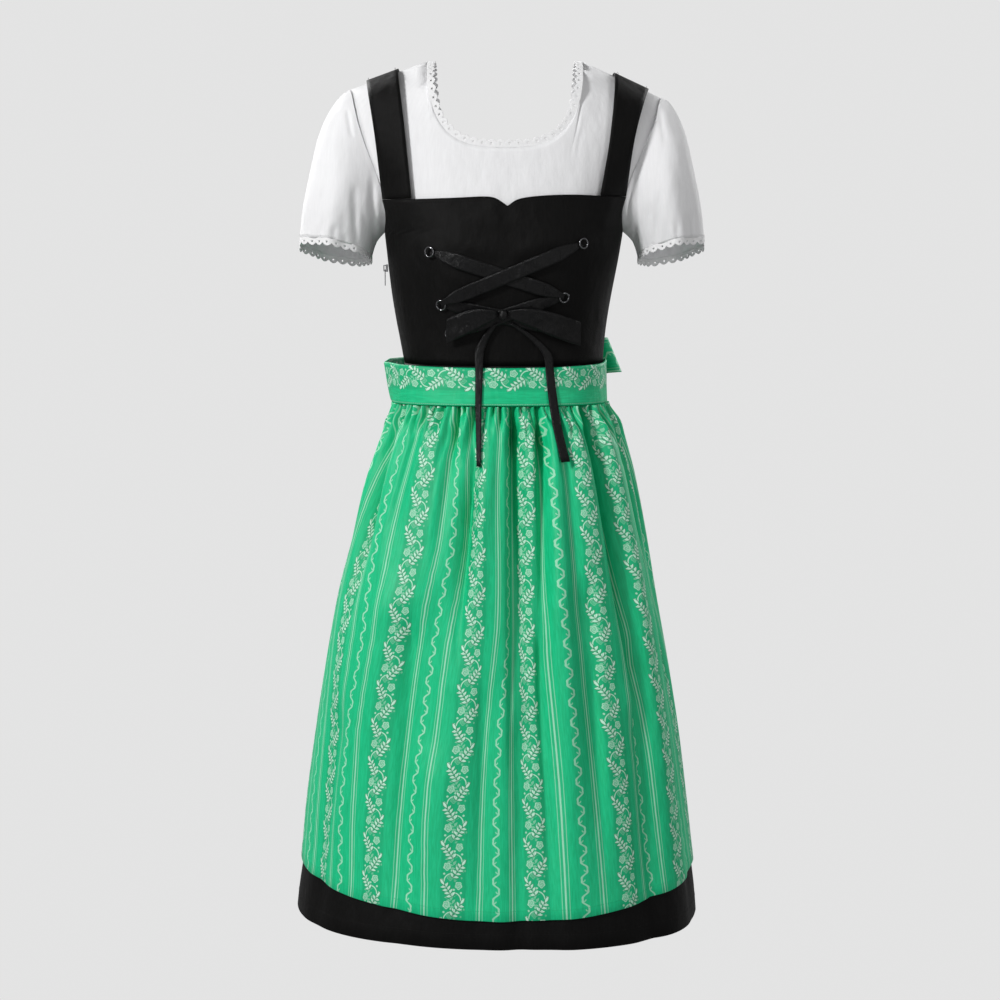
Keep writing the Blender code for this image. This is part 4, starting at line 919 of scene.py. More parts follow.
def thread_finish(name, colour, roughness):
    """Twisted sewing thread, with painted shade in the grooves of its twist."""
    made, tree, shader = new_finish(name, roughness, Specular_IOR_Level=0.15)
    x, y, z = coordinates(tree, "object", 2600.0)
    twist = (x + y + z).sine() * 0.5 + 0.5
    # Painted shade: the colour falls to 70% where the twist's bump is low.
    darker = tuple(value * 0.7 for value in colour)
    tree.links.new(tinted(tree, darker, colour, twist), shader.inputs["Base Color"])
    raise_surface(tree, shader, (twist, 0.00004))
    return made


black_thread = thread_finish("black thread", (0.006, 0.006, 0.006), 0.60)
green_thread = thread_finish("green thread", (0.020, 0.420, 0.200), 0.55)
white_thread = thread_finish("white thread", (0.86, 0.86, 0.86), 0.65)
zip_nylon = thread_finish("zip teeth nylon", (0.024, 0.024, 0.026), 0.38)


# ------------------------------------------------------------------ making pieces
def new_piece(name, mesh, finish):
    """A smooth piece of this mesh with its finish, in the scene."""
    made = bpy.data.objects.new(name, mesh)
    mesh.materials.clear()
    mesh.materials.append(finish)
    mesh.shade_smooth()
    bpy.context.scene.collection.objects.link(made)
    return made


def hold(piece, slot, *nodes, body="garment"):
    """The piece rides on its body and stands for its solids, which are hidden; slot is not used."""
    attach(piece, body)
    if nodes:
        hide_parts(*nodes)


def write_cut(mesh, places, wrap=None):
    """Keeps each vertex's place on the cloth's cut, in metres, as the UV map that finishes read."""
    corners = np.empty(len(mesh.loops), np.int32)
    mesh.loops.foreach_get("vertex_index", corners)
    values = places[corners]
    if wrap:
        starts = np.empty(len(mesh.polygons), np.int32)
        totals = np.empty(len(mesh.polygons), np.int32)
        mesh.polygons.foreach_get("loop_start", starts)
        mesh.polygons.foreach_get("loop_total", totals)
        most = np.maximum.reduceat(values[:, 0], starts)
        least = np.minimum.reduceat(values[:, 0], starts)
        crossing = np.repeat(most - least > wrap / 2, totals)
        values[crossing & (values[:, 0] < np.repeat(most, totals) - wrap / 2), 0] += wrap
    layer = mesh.uv_layers.new(name="cloth")
    layer.data.foreach_set("uv", values.astype(np.float32).ravel())


def unit(vectors):
    """Vectors made 1 long."""
    return vectors / np.maximum(np.linalg.norm(vectors, axis=-1, keepdims=True), 1e-12)


def cloth_shell(name, rows, cut, thickness, finish):
    """A wall of cloth about a grid of points, with rounded edges; cut holds each point's place on it."""
    points = np.array([[tuple(point) for point in row] for row in rows])
    cut = np.array(cut)
    down, along = points.shape[:2]
    normal = unit(np.cross(np.gradient(points, axis=1), np.gradient(points, axis=0)))
    rim = [(0, i) for i in range(along - 1)] + [(j, along - 1) for j in range(down - 1)]
    rim += [(down - 1, i) for i in range(along - 1, 0, -1)] + [(j, 0) for j in range(down - 1, 0, -1)]
    outwards = np.zeros((len(rim), 3))
    for k, (j, i) in enumerate(rim):
        if j in (0, down - 1):
            outwards[k] += unit(points[j, i] - points[j + (1 if j == 0 else -1), i])
        if i in (0, along - 1):
            outwards[k] += unit(points[j, i] - points[j, i + (1 if i == 0 else -1)])
    edge = np.array([points[j, i] for j, i in rim]) + unit(outwards) * thickness / 2
    faces_apart = [(points + way * normal * thickness / 2).reshape(-1, 3) for way in (1, -1)]
    vertices = np.concatenate([*faces_apart, edge])
    places = np.concatenate([cut.reshape(-1, 2)] * 2 + [np.array([cut[j, i] for j, i in rim])])
    count = down * along
    faces = []
    for j in range(down - 1):
        for i in range(along - 1):
            a, b = j * along + i, (j + 1) * along + i
            faces.append((a, a + 1, b + 1, b))
            faces.append((count + a, count + b, count + b + 1, count + a + 1))
    for k, (j, i) in enumerate(rim):
        after = (k + 1) % len(rim)
        here, there = j * along + i, rim[after][0] * along + rim[after][1]
        faces.append((here, there, 2 * count + after, 2 * count + k))
        faces.append((2 * count + k, 2 * count + after, count + there, count + here))
    mesh = bpy.data.meshes.new(name)
    mesh.from_pydata(vertices, [], faces)
    shape = bmesh.new()
    shape.from_mesh(mesh)
    bmesh.ops.recalc_face_normals(shape, faces=shape.faces)
    shape.to_mesh(mesh)
    shape.free()
    write_cut(mesh, places)
    return new_piece(name, mesh, finish)


def cloth_of_rows(name, rows_down, row_at, thickness, finish):
    """A wall of cloth; row_at gives a row's points, each with its place, from a share of the way down."""
    grid = [row_at(j / rows_down) for j in range(rows_down + 1)]
    rows = [[point for point, _ in row] for row in grid]
    cut = [[spot for _, spot in row] for row in grid]
    return cloth_shell(name, rows, cut, thickness, finish)


def smoothed(name, node, levels, finish, rim_degrees=50):
    """A copy of a soft solid, its triangles paired and its surface smoothed, with its edges kept."""
    shape = bmesh.new()
    shape.from_mesh(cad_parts[node].data)
    bmesh.ops.remove_doubles(shape, verts=shape.verts, dist=1e-6)
    bmesh.ops.join_triangles(
        shape,
        faces=shape.faces,
        angle_face_threshold=math.radians(40),
        angle_shape_threshold=math.radians(80),
        topology_influence=1.5,
    )
    crease = shape.edges.layers.float.new("crease_edge")
    for edge in shape.edges:
        if len(edge.link_faces) == 2 and edge.calc_face_angle() > math.radians(rim_degrees):
            edge[crease] = 1.0
    mesh = bpy.data.meshes.new(name)
    shape.to_mesh(mesh)
    shape.free()
    while mesh.uv_layers:
        mesh.uv_layers.remove(mesh.uv_layers[0])
    made = new_piece(name, mesh, finish)
    smooth = made.modifiers.new("smooth cloth", "SUBSURF")
    smooth.levels = smooth.render_levels = levels
    settle(made)
    made.data.set_sharp_from_angle(angle=math.radians(55))
    return made


def settle(piece):
    """Turns the piece's modifiers into its plain mesh."""
    done = bpy.data.meshes.new_from_object(piece.evaluated_get(bpy.context.evaluated_depsgraph_get()))
    piece.modifiers.clear()
    old, piece.data = piece.data, done
    bpy.data.meshes.remove(old)
    done.name = piece.name


def vertices_of(piece):
    """The piece's vertices as an array."""
    points = np.empty(len(piece.data.vertices) * 3, np.float32)
    piece.data.vertices.foreach_get("co", points)
    return points.reshape(-1, 3).astype(float)


def move_vertices(piece, points):
    """Puts the piece's vertices at these points."""
    piece.data.vertices.foreach_set("co", points.astype(np.float32).ravel())
    piece.data.update()


def bell(values):
    """A soft bump: 1 at 0, and near 0 from 2 on."""
    return np.exp(-(values**2))


# ------------------------------------------------------------------ apron
APRON_COLUMNS, APRON_ROWS = 472, 64
PRINT_REPEAT = REPEAT / 1000
Vines = namedtuple("Vines", "height first second third fourth fifth sixth")
VINES = (  # degrees round the apron where each leafy stripe hangs
    Vines(-1.020, -57.0, -37.0, -13.6, 9.5, 37.7, 60.5),
    Vines(-0.860, -60.0, -38.0, -13.1, 8.8, 37.4, 60.5),
    Vines(-0.760, -61.5, -37.5, -10.6, 7.7, 35.9, 59.0),
    Vines(-0.650, -64.0, -33.9, -9.2, 7.7, 34.0, 57.0),
    Vines(-0.525, -63.5, -32.4, -10.4, 9.1, 34.6, 53.5),
    Vines(-0.410, -61.5, -35.2, -11.5, 12.1, 33.4, 51.0),
)
VINE_BEFORE_THIRD, VINE_STEP = 5, 23.5  # vines left of the third, and degrees between those at the sides
VINE_LYING_OPEN = 3  # this one has few tucks beside it
LYING_OPEN_SHARE, LYING_OPEN_WIDTH = 0.85, 5.5
SPARE_ANYWHERE, SPARE_IN_FOLDS, SPARE_IN_GATHERS = 0.05, 36.0, 350.0


def print_across(height):
    """Where each degree round the apron lies on its cut: the spare cloth is in the folds and gathers."""
    vines = between(VINES, height)[1:]
    knots = [vines[0] - VINE_STEP * k for k in (3, 2, 1)] + [*vines]
    knots += [vines[-1] + VINE_STEP * k for k in (1, 2, 3)]
    degrees = np.linspace(knots[0], knots[-1], 1201)
    section, turn = between(HANG, height), np.radians(degrees)
    width = np.where(turn > 0, section.left, section.right)
    even = np.radians(np.hypot(width * np.cos(turn), section.front * np.sin(turn)))
    tucked = np.full(len(degrees), SPARE_ANYWHERE)
    down = (APRON_TOP - height) / (APRON_TOP - SKIRT_HEM)
    for fold in (*FOLDS, *FINER_FOLDS):
        if fold.end < height < fold.start and fold.depth > 0:
            fade = ease((height - fold.end) / (fold.start - fold.end) * FOLD_FADES_FROM)
            aside = degrees - mix(fold.angle_top, fold.angle_hem, down)
            tucked += SPARE_IN_FOLDS * fold.depth * fade * bell(aside / fold.half_width)
    for pleat in PLEATS:
        tucked += SPARE_IN_FOLDS * pleat_depth(pleat, height, degrees)
    tucked *= 1 - LYING_OPEN_SHARE * bell((degrees - vines[VINE_LYING_OPEN]) / LYING_OPEN_WIDTH)
    for row in APRON_GATHERS:
        if height > row.end:
            share = (APRON_TOP - height) / (APRON_TOP - row.end)
            aside = degrees - mix(row.angle_top, row.angle_end, share)
            fade = ease((1 - share) * GATHERS_FADE_FROM)
            tucked += SPARE_IN_GATHERS * row.depth * fade * bell(aside / row.half_width)
    across = np.zeros(len(degrees))
    for k in range(len(knots) - 1):
        inside = (degrees >= knots[k] - 1e-9) & (degrees <= knots[k + 1] + 1e-9)
        step = degrees[1] - degrees[0]
        lying, spare = np.cumsum(even[inside]) * step, np.cumsum(tucked[inside])
        lying, spare = lying - lying[0], (spare - spare[0]) / (spare[-1] - spare[0])
        missing = PRINT_REPEAT - lying[-1]
        grown = lying + missing * spare if missing > 0 else lying * PRINT_REPEAT / lying[-1]
        across[inside] = (k - VINE_BEFORE_THIRD) * PRINT_REPEAT + grown
    return degrees, across


def even_print_across(height, turns):
    """The same at these turns, evened out down the cloth, so that no printed line has a kink."""
    reach = 0.004 + 0.046 * ease((APRON_TOP - height) / 0.14)
    near = [min(height + reach * share, APRON_TOP) for share in (-1.0, -0.6, -0.2, 0.2, 0.6, 1.0)]
    return np.mean([np.interp(turns, *print_across(level)) for level in near], axis=0)


def uneven_gathers(first, last, count, top, seed, longest=0.110, half_widths=(1.1, 1.7)):
    """Small gathers all along a seam, uneven in place, depth and length."""
    chance = random.Random(seed)
    step = (last - first) / count
    rows = []
    for i in range(count):
        at = first + step * (i + 0.5 + chance.uniform(-0.28, 0.28))
        length = chance.uniform(0.3, 1.0) * longest
        leaning, depth = chance.uniform(-1.2, 1.2), chance.uniform(0.0016, 0.0034)
        rows.append(Gather(at, at + leaning, chance.uniform(*half_widths), depth, top - length))
    return rows


SMALL_APRON_GATHERS = [
    row._replace(depth=row.depth * 1.6)
    for row in uneven_gathers(-100.0, 100.0, 46, APRON_TOP, 11, longest=0.085, half_widths=(0.7, 1.0))
]


def apron_cloth():
    """The apron's gathered skirt, open behind."""
    turns = [mix(-APRON_HALF_WRAP, APRON_HALF_WRAP, i / APRON_COLUMNS) for i in range(APRON_COLUMNS + 1)]

    def row_at(share):
        down = share**ROWS_CLOSER_ABOVE_APRON
        row = []
        for degrees, over in zip(turns, even_print_across(mix(APRON_TOP, APRON_HEM_FRONT, down), turns)):
            angle = math.radians(degrees)
            height = mix(APRON_TOP, apron_hem(angle), down)
            gathers = GATHERS_DEEPER * gather_depth(APRON_GATHERS, APRON_TOP, height, degrees)
            gathers += gather_depth(SMALL_APRON_GATHERS, APRON_TOP, height, degrees)
            row.append((creased_point(height, angle, -gathers), (over, (APRON_TOP - height) * CUT_LONGER)))
        return row

    made = cloth_of_rows("apron_skirt_cloth", APRON_ROWS, row_at, APRON_CLOTH, green_print)
    hold(made, "green_print", "apron_skirt")
    return made


GATHERS_DEEPER = 2.2
ROWS_CLOSER_ABOVE_APRON, ROWS_CLOSER_ABOVE_SKIRT = 1.35, 1.25  # powers that put more rows near the gathers
CUT_LONGER = 1.02  # the apron's cut against its height


def apron_hem(angle):
    """The height of the apron's hem at this angle."""
    side = math.sin(min(abs(angle), math.pi / 2))
    return APRON_HEM_FRONT + APRON_HEM_RISE * side * side - SKIRT_HEM_TILT * math.sin(angle)


# ------------------------------------------------------------------ skirt
SKIRT_GATHERS = {FRONT: (), BACK: uneven_gathers(92.0, 268.0, 36, WAIST, 5)}
SKIRT_SPAN = {FRONT: (-90.0, 90.0, 150), BACK: (90.0, 270.0, 330)}
SKIRT_ROWS = 52
UNDER_GATHERS = {FRONT: 0.0085, BACK: 0.0}  # the front keeps clear of the apron's deep gathers
DEEP_GATHERS_AT, DEEP_GATHERS_REACH = -0.450, 0.035
NEARER_AT_HEM, NEARER_BELOW, NEARER_OVER = 0.0035, -0.90, 0.10
SKIRT_SEAM_DEGREES = math.degrees(SEAM_GAP / 2 / 0.12)
SKIRT_METRES_PER_DEGREE = 0.0042


def skirt_hem(angle):
    """The height of the skirt's hem at this angle."""
    return SKIRT_HEM - SKIRT_HEM_TILT * math.sin(angle)


def under_apron(height):
    """How far the skirt hangs inside the apron, a little less towards the hem."""
    return SKIRT_NEST - NEARER_AT_HEM * ease((NEARER_BELOW - height) / NEARER_OVER)


def skirt_cloth(face):
    """The front or back of the pinafore's gathered skirt."""
    first, last, columns = SKIRT_SPAN[face]
    top = WAIST - SEAM_GAP

    def row_at(share):
        row = []
        for i in range(columns + 1):
            degrees = mix(first + SKIRT_SEAM_DEGREES, last - SKIRT_SEAM_DEGREES, i / columns)
            angle = math.radians(degrees)
            height = mix(top, skirt_hem(angle), share**ROWS_CLOSER_ABOVE_SKIRT)
            inside = under_apron(height)
            inside += UNDER_GATHERS[face] * bell((height - DEEP_GATHERS_AT) / DEEP_GATHERS_REACH)
            gathers = gather_depth(SKIRT_GATHERS[face], top, height, degrees)
            point = creased_point(height, angle, -gathers - inside)
            row.append((point, (degrees * SKIRT_METRES_PER_DEGREE, height)))
        return row

    made = cloth_of_rows("skirt_" + face + "_cloth", SKIRT_ROWS, row_at, SKIRT_CLOTH, black_satin_cotton)
    hold(made, "black_satin_cotton", "skirt_" + face)


# ------------------------------------------------------------------ apron band, ties and back bow
VINE_MIDDLE_IN_BAND = -0.3815
BAND_METRES_PER_DEGREE = 0.00228
SCROLL_ACROSS = 0.05635  # of the print's repeat, where the wavy scroll runs


def band_ripple(height, degrees):
    """Slight waves of the band, most along its seams."""
    wave = math.sin(math.radians(degrees) * 13.0) + 0.7 * math.sin(math.radians(degrees) * 29.0 + 1.0)
    near_seam = abs(height - BAND_MIDDLE) / 0.026
    return 0.00028 * wave * near_seam


BAND_GAPE = 0.0055  # how far the band's upper edge stands off at the wearer's right side
GAPE_ANGLE, GAPE_WIDTH = -84.0, 11.0
BAND_DIPS_BEFORE, BAND_DIPS_AT_GAPE, BAND_RISES_BEFORE = 0.0065, 0.0030, 0.0015


def band_cloth():
    """The apron's band, which gapes a little at the wearer's right."""
    columns, rows_down = 208, 14

    def row_at(share):
        row = []
        for i in range(columns + 1):
            degrees = mix(-APRON_HALF_WRAP, APRON_HALF_WRAP, i / columns)
            angle = math.radians(degrees)
            before = max(0.0, math.cos(angle)) ** 0.7
            gapes = bell((degrees - GAPE_ANGLE) / GAPE_WIDTH)
            top = BAND[-1].height - BAND_DIPS_BEFORE * before * (1 - gapes) - BAND_DIPS_AT_GAPE * gapes
            height = mix(top, BAND[0].height + BAND_RISES_BEFORE * before, share)
            stands_off = BAND_GAPE * gapes * (1 - share) ** 0.5
            point = level_point(BAND, height, angle, band_ripple(height, degrees) + stands_off)
            row.append((point, (height - VINE_MIDDLE_IN_BAND, degrees * BAND_METRES_PER_DEGREE)))
        return row

    made = cloth_of_rows("apron_band_cloth", rows_down, row_at, BAND_CLOTH, green_print)
    hold(made, "green_print", "apron_band")


def pleats(across, strength, count=5, phase=0.6):
    """Lengthwise pleats of a tie that is pressed together."""
    return strength * math.cos(math.pi * count * across + phase)


TIE_GAP_DEGREES, TIE_CLOTH = 0.35, APRON_CLOTH * 1.4


def tie_cloth(name, side):
    """A tie, from the end of the band to the knot behind."""
    columns, rows_down = 64, 24
    first, last = APRON_HALF_WRAP + TIE_GAP_DEGREES, 180 - KNOT_HALF_ANGLE

    def row_at(down):
        up = 1 - 2 * down
        row = []
        for i in range(columns + 1):
            share = i / columns
            degrees = side * mix(first, last, share)
            band_height = mix(BAND[0].height, BAND[-1].height, (up + 1) / 2)
            knot_height = BAND_MIDDLE + up * TIE_HALF_HEIGHT_AT_KNOT
            rise = TIE_RISE_AT_KNOT * ease(share * 2 - 1)
            folds = pleats(up, 0.0010 * ease(share * 1.4 - 0.25))
            point = level_point(BAND, band_height, math.radians(degrees), rise + folds)
            point.z = mix(band_height, knot_height, ease(share * 1.3 - 0.3))
            row.append((point, (band_height - VINE_MIDDLE_IN_BAND, degrees * BAND_METRES_PER_DEGREE)))
        return row

    made = cloth_of_rows("tie_" + name + "_cloth", rows_down, row_at, TIE_CLOTH, green_print)
    hold(made, "green_print", "tie_" + name)


LOOP_HALF_WIDTH, LOOP_LENGTH = 0.0245, 0.285


def bow_loop_cloth(name, side):
    """A loop of the bow behind, out from the knot and back to it."""
    columns, rows_down = 110, 22

    def row_at(down):
        up = 1 - 2 * down
        row = []
        for i in range(columns + 1):
            share = i / columns
            step = between(BOW_LOOP, share)
            near_knot = ease(1 - min(share, 1 - share) / 0.22)
            outer = 1 if share < 0.5 else -1
            folds = pleats(up, 0.0006 + 0.0010 * near_knot, 4, 0.4 + side)
            sway = 0.0022 * math.sin(6.0 * share + 1.5 * up) * (1 - near_knot)
            behind = step.behind + outer * folds + sway * up
            out = ease((step.across - BOW_LOOP[0].across) / LOOP_LEANS_OVER)
            across = step.across * mix(1.0, LOOP_REACH[side], out) - up * LOOP_LEAN * out
            point = Vector((side * across, behind, step.height + up * step.half_height))
            row.append((point, (SCROLL_ACROSS + up * LOOP_HALF_WIDTH, side * share * LOOP_LENGTH)))
        return row

    made = cloth_of_rows("bow_loop_" + name + "_cloth", rows_down, row_at, APRON_CLOTH, green_print)
    hold(made, "green_print", "bow_loop_" + name)


TAIL_WIDTH_AT_KNOT, TAIL_SLANT = 0.29, 0.012


def bow_tail_cloth(name, side):
    """A hanging end of the bow behind, cut at a slant."""
    rows_down, columns = 90, 18

    def row_at(down):
        share = down**1.5
        height = mix(TAIL_TOP, TAIL_END[side], share)
        middle = math.pi - side * math.radians(mix(TAIL_ANGLE_TOP, TAIL_ANGLE_END, ease(share * 4)))
        depth = between(HANG, height).back
        half = TAIL_HALF_WIDTH * mix(TAIL_WIDTH_AT_KNOT, 1.0, ease(share * 4))
        lift = TAIL_LIFT + TAIL_RISE_AT_KNOT * (1 - ease(share * 6))
        row = []
        for i in range(columns + 1):
            aside = 2 * i / columns - 1
            slant = TAIL_SLANT * aside * ease((share - 0.85) / 0.15) * side
            folds = pleats(aside, 0.0009 * (1 - ease(share * 3.0)) + 0.0003, 3, 0.9)
            angle = middle - side * aside * half / depth
            point = level_point(HANG, height + slant, angle, lift + folds)
            spread = between(HANG, height).left / depth
            row.append((point, (SCROLL_ACROSS + aside * half * spread, side * (0.30 - height))))
        return row

    made = cloth_of_rows("bow_tail_" + name + "_cloth", rows_down, row_at, APRON_CLOTH, green_print)
    hold(made, "green_print", "bow_tail_" + name)


def bow_knot_cloth():
    """The tie's turn round the middle of the bow, pulled into creases."""
    made = smoothed("bow_knot_cloth", "bow_knot", 1, green_print)
    points = vertices_of(made)
    middle = points.mean(0)
    apart = points - middle
    turn = np.arctan2(apart[:, 2], apart[:, 1])
    creases = 0.0007 * np.cos(apart[:, 0] * 900.0 + 1.2 * np.sin(turn * 2.0))
    outwards = unit(apart * np.array([0.0, 1.0, 1.0]))
    move_vertices(made, points + outwards * creases[:, None])
    write_cut(made.data, np.stack([SCROLL_ACROSS + apart[:, 0], turn * 0.017], axis=1), wrap=0.0)
    hold(made, "green_print", "bow_knot")


# ------------------------------------------------------------------ bodice, straps, blouse and sleeves
Crease = namedtuple("Crease", "x_top z_top x_end z_end half_width depth")
BODICE_CREASES = (  # pulls between the lacing's rings, on the front
    Crease(-0.066, -0.232, -0.010, -0.246, 0.0060, 0.0016),
    Crease(-0.070, -0.246, -0.020, -0.262, 0.0050, 0.0011),
    Crease(0.070, -0.224, 0.012, -0.246, 0.0060, 0.0018),
    Crease(0.064, -0.240, 0.020, -0.262, 0.0050, 0.0012),
    Crease(-0.040, -0.206, 0.030, -0.214, 0.0090, 0.0009),
    Crease(-0.020, -0.345, -0.012, -0.362, 0.0060, 0.0010),
    Crease(0.030, -0.340, 0.036, -0.362, 0.0060, 0.0010),
    Crease(-0.062, -0.340, -0.052, -0.362, 0.0060, 0.0009),
    Crease(-0.118, -0.255, -0.108, -0.340, 0.0070, 0.0009),
    Crease(0.116, -0.250, 0.104, -0.335, 0.0070, 0.0009),
)
SLEEVE_CREASES = {  # soft folds of each sleeve; x is outwards
    (1, FRONT): (
        Crease(0.1610, -0.150, 0.1600, -0.240, 0.0035, 0.0050),
        Crease(0.1740, -0.178, 0.1700, -0.236, 0.0034, 0.0026),
        Crease(0.1850, -0.160, 0.1800, -0.236, 0.0042, 0.0036),
        Crease(0.1960, -0.208, 0.1930, -0.236, 0.0030, 0.0014),
        Crease(0.2060, -0.196, 0.2110, -0.234, 0.0032, 0.0024),
        Crease(0.2230, -0.190, 0.2290, -0.232, 0.0034, 0.0026),
        Crease(0.1870, -0.060, 0.1920, -0.100, 0.0026, 0.0022),
        Crease(0.1990, -0.058, 0.2080, -0.096, 0.0026, 0.0014),
        Crease(0.2100, -0.085, 0.2170, -0.130, 0.0040, 0.0012),
    ),
    (-1, FRONT): (
        Crease(0.1600, -0.145, 0.1600, -0.240, 0.0035, 0.0050),
        Crease(0.1810, -0.155, 0.1790, -0.236, 0.0044, 0.0040),
        Crease(0.1700, -0.182, 0.1680, -0.236, 0.0032, 0.0022),
        Crease(0.2050, -0.200, 0.2090, -0.234, 0.0032, 0.0030),
        Crease(0.1930, -0.212, 0.1920, -0.236, 0.0028, 0.0014),
        Crease(0.2200, -0.195, 0.2260, -0.232, 0.0034, 0.0032),
        Crease(0.2360, -0.170, 0.2430, -0.228, 0.0036, 0.0018),
        Crease(0.1900, -0.062, 0.1850, -0.092, 0.0024, 0.0034),
        Crease(0.2050, -0.070, 0.2150, -0.120, 0.0034, 0.0014),
    ),
    (1, BACK): (
        Crease(0.1640, -0.140, 0.1620, -0.240, 0.0038, 0.0040),
        Crease(0.1830, -0.165, 0.1800, -0.238, 0.0042, 0.0034),
        Crease(0.2040, -0.190, 0.2060, -0.236, 0.0036, 0.0026),
        Crease(0.2240, -0.180, 0.2300, -0.234, 0.0036, 0.0026),
        Crease(0.1900, -0.060, 0.1950, -0.105, 0.0030, 0.0020),
    ),
    (-1, BACK): (
        Crease(0.1640, -0.150, 0.1630, -0.240, 0.0038, 0.0036),
        Crease(0.1780, -0.175, 0.1760, -0.238, 0.0038, 0.0028),
        Crease(0.1990, -0.165, 0.2020, -0.236, 0.0040, 0.0032),
        Crease(0.2210, -0.195, 0.2250, -0.234, 0.0034, 0.0024),
        Crease(0.2000, -0.062, 0.2080, -0.110, 0.0032, 0.0018),
    ),
}


def crease_depths(creases, x, z):
    """How deep a table's creases are at each place, given seen from the front or behind."""
    depth = np.zeros(len(x))
    for row in creases:
        way = np.array([row.x_end - row.x_top, row.z_end - row.z_top])
        length = np.linalg.norm(way)
        way /= length
        along = ((x - row.x_top) * way[0] + (z - row.z_top) * way[1]) / length
        aside = (x - row.x_top) * -way[1] + (z - row.z_top) * way[0]
        ends = np.clip((along + 0.15) / 0.35, 0, 1) * np.clip((1.15 - along) / 0.35, 0, 1)
        depth += row.depth * ends * ends * (3 - 2 * ends) * bell(aside / row.half_width)
        depth -= row.depth * 0.35 * ends * bell((np.abs(aside) - 2.1 * row.half_width) / row.half_width)
    return depth


BODY_RADIUS = 0.13


def cut_round_body(piece):
    """Puts the places on the cut of cloth that lies round the figure on the piece."""
    points = vertices_of(piece)
    turn = np.arctan2(points[:, 0], -points[:, 1])
    places = np.stack([turn * BODY_RADIUS, points[:, 2]], axis=1)
    write_cut(piece.data, places, wrap=2 * math.pi * BODY_RADIUS)


CREASE_LIMITS = (-0.0016, 0.0010)  # so that the bodice stays clear of the blouse and of the lacing


def bodice_cloth(face):
    """The front or back of the bodice."""
    made = smoothed("bodice_" + face + "_cloth", "bodice_" + face, 2, black_satin_cotton)
    points = vertices_of(made)
    if face == FRONT:
        rise = -crease_depths(BODICE_CREASES, points[:, 0], points[:, 2])
        points[:, 1] -= np.clip(rise, *CREASE_LIMITS)
        move_vertices(made, points)
    cut_round_body(made)
    hold(made, "black_satin_cotton", "bodice_" + face)


def strap_cloth(name):
    """A shoulder strap."""
    made = smoothed("strap_" + name + "_cloth", "strap_" + name, 2, black_satin_cotton)
    points = vertices_of(made)
    write_cut(made.data, np.stack([points[:, 0], points[:, 2] + points[:, 1]], axis=1))
    hold(made, "black_satin_cotton", "strap_" + name)


def blouse_cloth(face):
    """The front or back of the blouse."""
    made = smoothed("blouse_" + face + "_cloth", "blouse_" + face, 2, white_cotton)
    cut_round_body(made)
    hold(made, "white_cotton", "blouse_" + face)


def gap_to_blouse(point):
    """How far a point is from the blouse's nearer panel."""
    return min(panel.find_nearest(point)[3] for panel in BLOUSE_PANELS)


BLOUSE_PANELS = [
    BVHTree.FromPolygons(
        [vertex.co.copy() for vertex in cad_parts[node].data.vertices],
        [tuple(face.vertices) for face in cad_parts[node].data.polygons],
    )
    for node in ("blouse_front", "blouse_back")
]


CREASE_AT_HEM, SLEEVE_CREASE_SHARE = 0.35, 0.48
HEAD_DRAWN_IN, HEAD_REACH = 0.0016, 0.007
SLEEVE_MIDDLE, SLEEVE_RADIUS = 0.195, 0.055


def sleeve_cloth(name, side):
    """A sleeve with its soft creases, its head drawn in to the blouse."""
    made = smoothed("sleeve_" + name + "_cloth", "sleeve_" + name, 3, white_cotton)
    points = vertices_of(made)
    out = points[:, 0] * side
    above_hem = np.clip((points[:, 2] + 0.235) / 0.03, 0.0, 1.0)
    keep_hem = mix(CREASE_AT_HEM, 1.0, above_hem)
    for face, way in ((FRONT, -1), (BACK, 1)):
        on_face = np.clip(way * points[:, 1] / 0.012, 0, 1)
        creases = crease_depths(SLEEVE_CREASES[side, face], out, points[:, 2])
        points[:, 1] -= way * on_face * keep_hem * creases * SLEEVE_CREASE_SHARE
    closer = [HEAD_DRAWN_IN * ease(1 - gap_to_blouse(Vector(point)) / HEAD_REACH) for point in points]
    points[:, 0] -= side * np.array(closer)
    move_vertices(made, points)
    turn = np.arctan2(points[:, 1], out - SLEEVE_MIDDLE)
    places = np.stack([turn * SLEEVE_RADIUS, points[:, 2]], axis=1)
    write_cut(made.data, places, wrap=2 * math.pi * SLEEVE_RADIUS)
    hold(made, "white_cotton", "sleeve_" + name)


# ------------------------------------------------------------------ ribbon lacing and its bow
def ribbon_piece(node, levels):
    """A stretch of the lacing ribbon on the form of its solid."""
    made = smoothed(node + "_ribbon", node, levels, black_satin_ribbon)
    points = vertices_of(made)
    write_cut(made.data, points[:, [0, 2]])
    hold(made, "black_satin_ribbon", node)


def lacing_ribbons():
    """The lacing over the front and its bow."""
    ribbon_piece("lacing_upper_under", 2)
    ribbon_piece("lacing_upper_over", 2)
    ribbon_piece("lacing_lower_under", 2)
    ribbon_piece("lacing_lower_over", 2)
    for name, length in (("left", 0.170), ("right", 0.120)):
        ribbon_piece("front_bow_loop_" + name, 2)
    for name in ("left", "right"):
        ribbon_piece("front_bow_tail_" + name, 2)
    ribbon_piece("front_bow_knot", 1)


# ------------------------------------------------------------------ rows of small things, by geometry nodes
def node_tree(name, inputs):
    """An empty geometry tree with its named inputs, and the identifier of each."""
    tree = bpy.data.node_groups.new(name, "GeometryNodeTree")
    tree.interface.new_socket("Geometry", in_out="INPUT", socket_type="NodeSocketGeometry")
    tree.interface.new_socket("Geometry", in_out="OUTPUT", socket_type="NodeSocketGeometry")
    names = {}
    for title, kind in inputs.items():
        names[title] = tree.interface.new_socket(title, in_out="INPUT", socket_type=kind).identifier
    return tree, tree.nodes.new("NodeGroupInput"), tree.nodes.new("NodeGroupOutput"), names


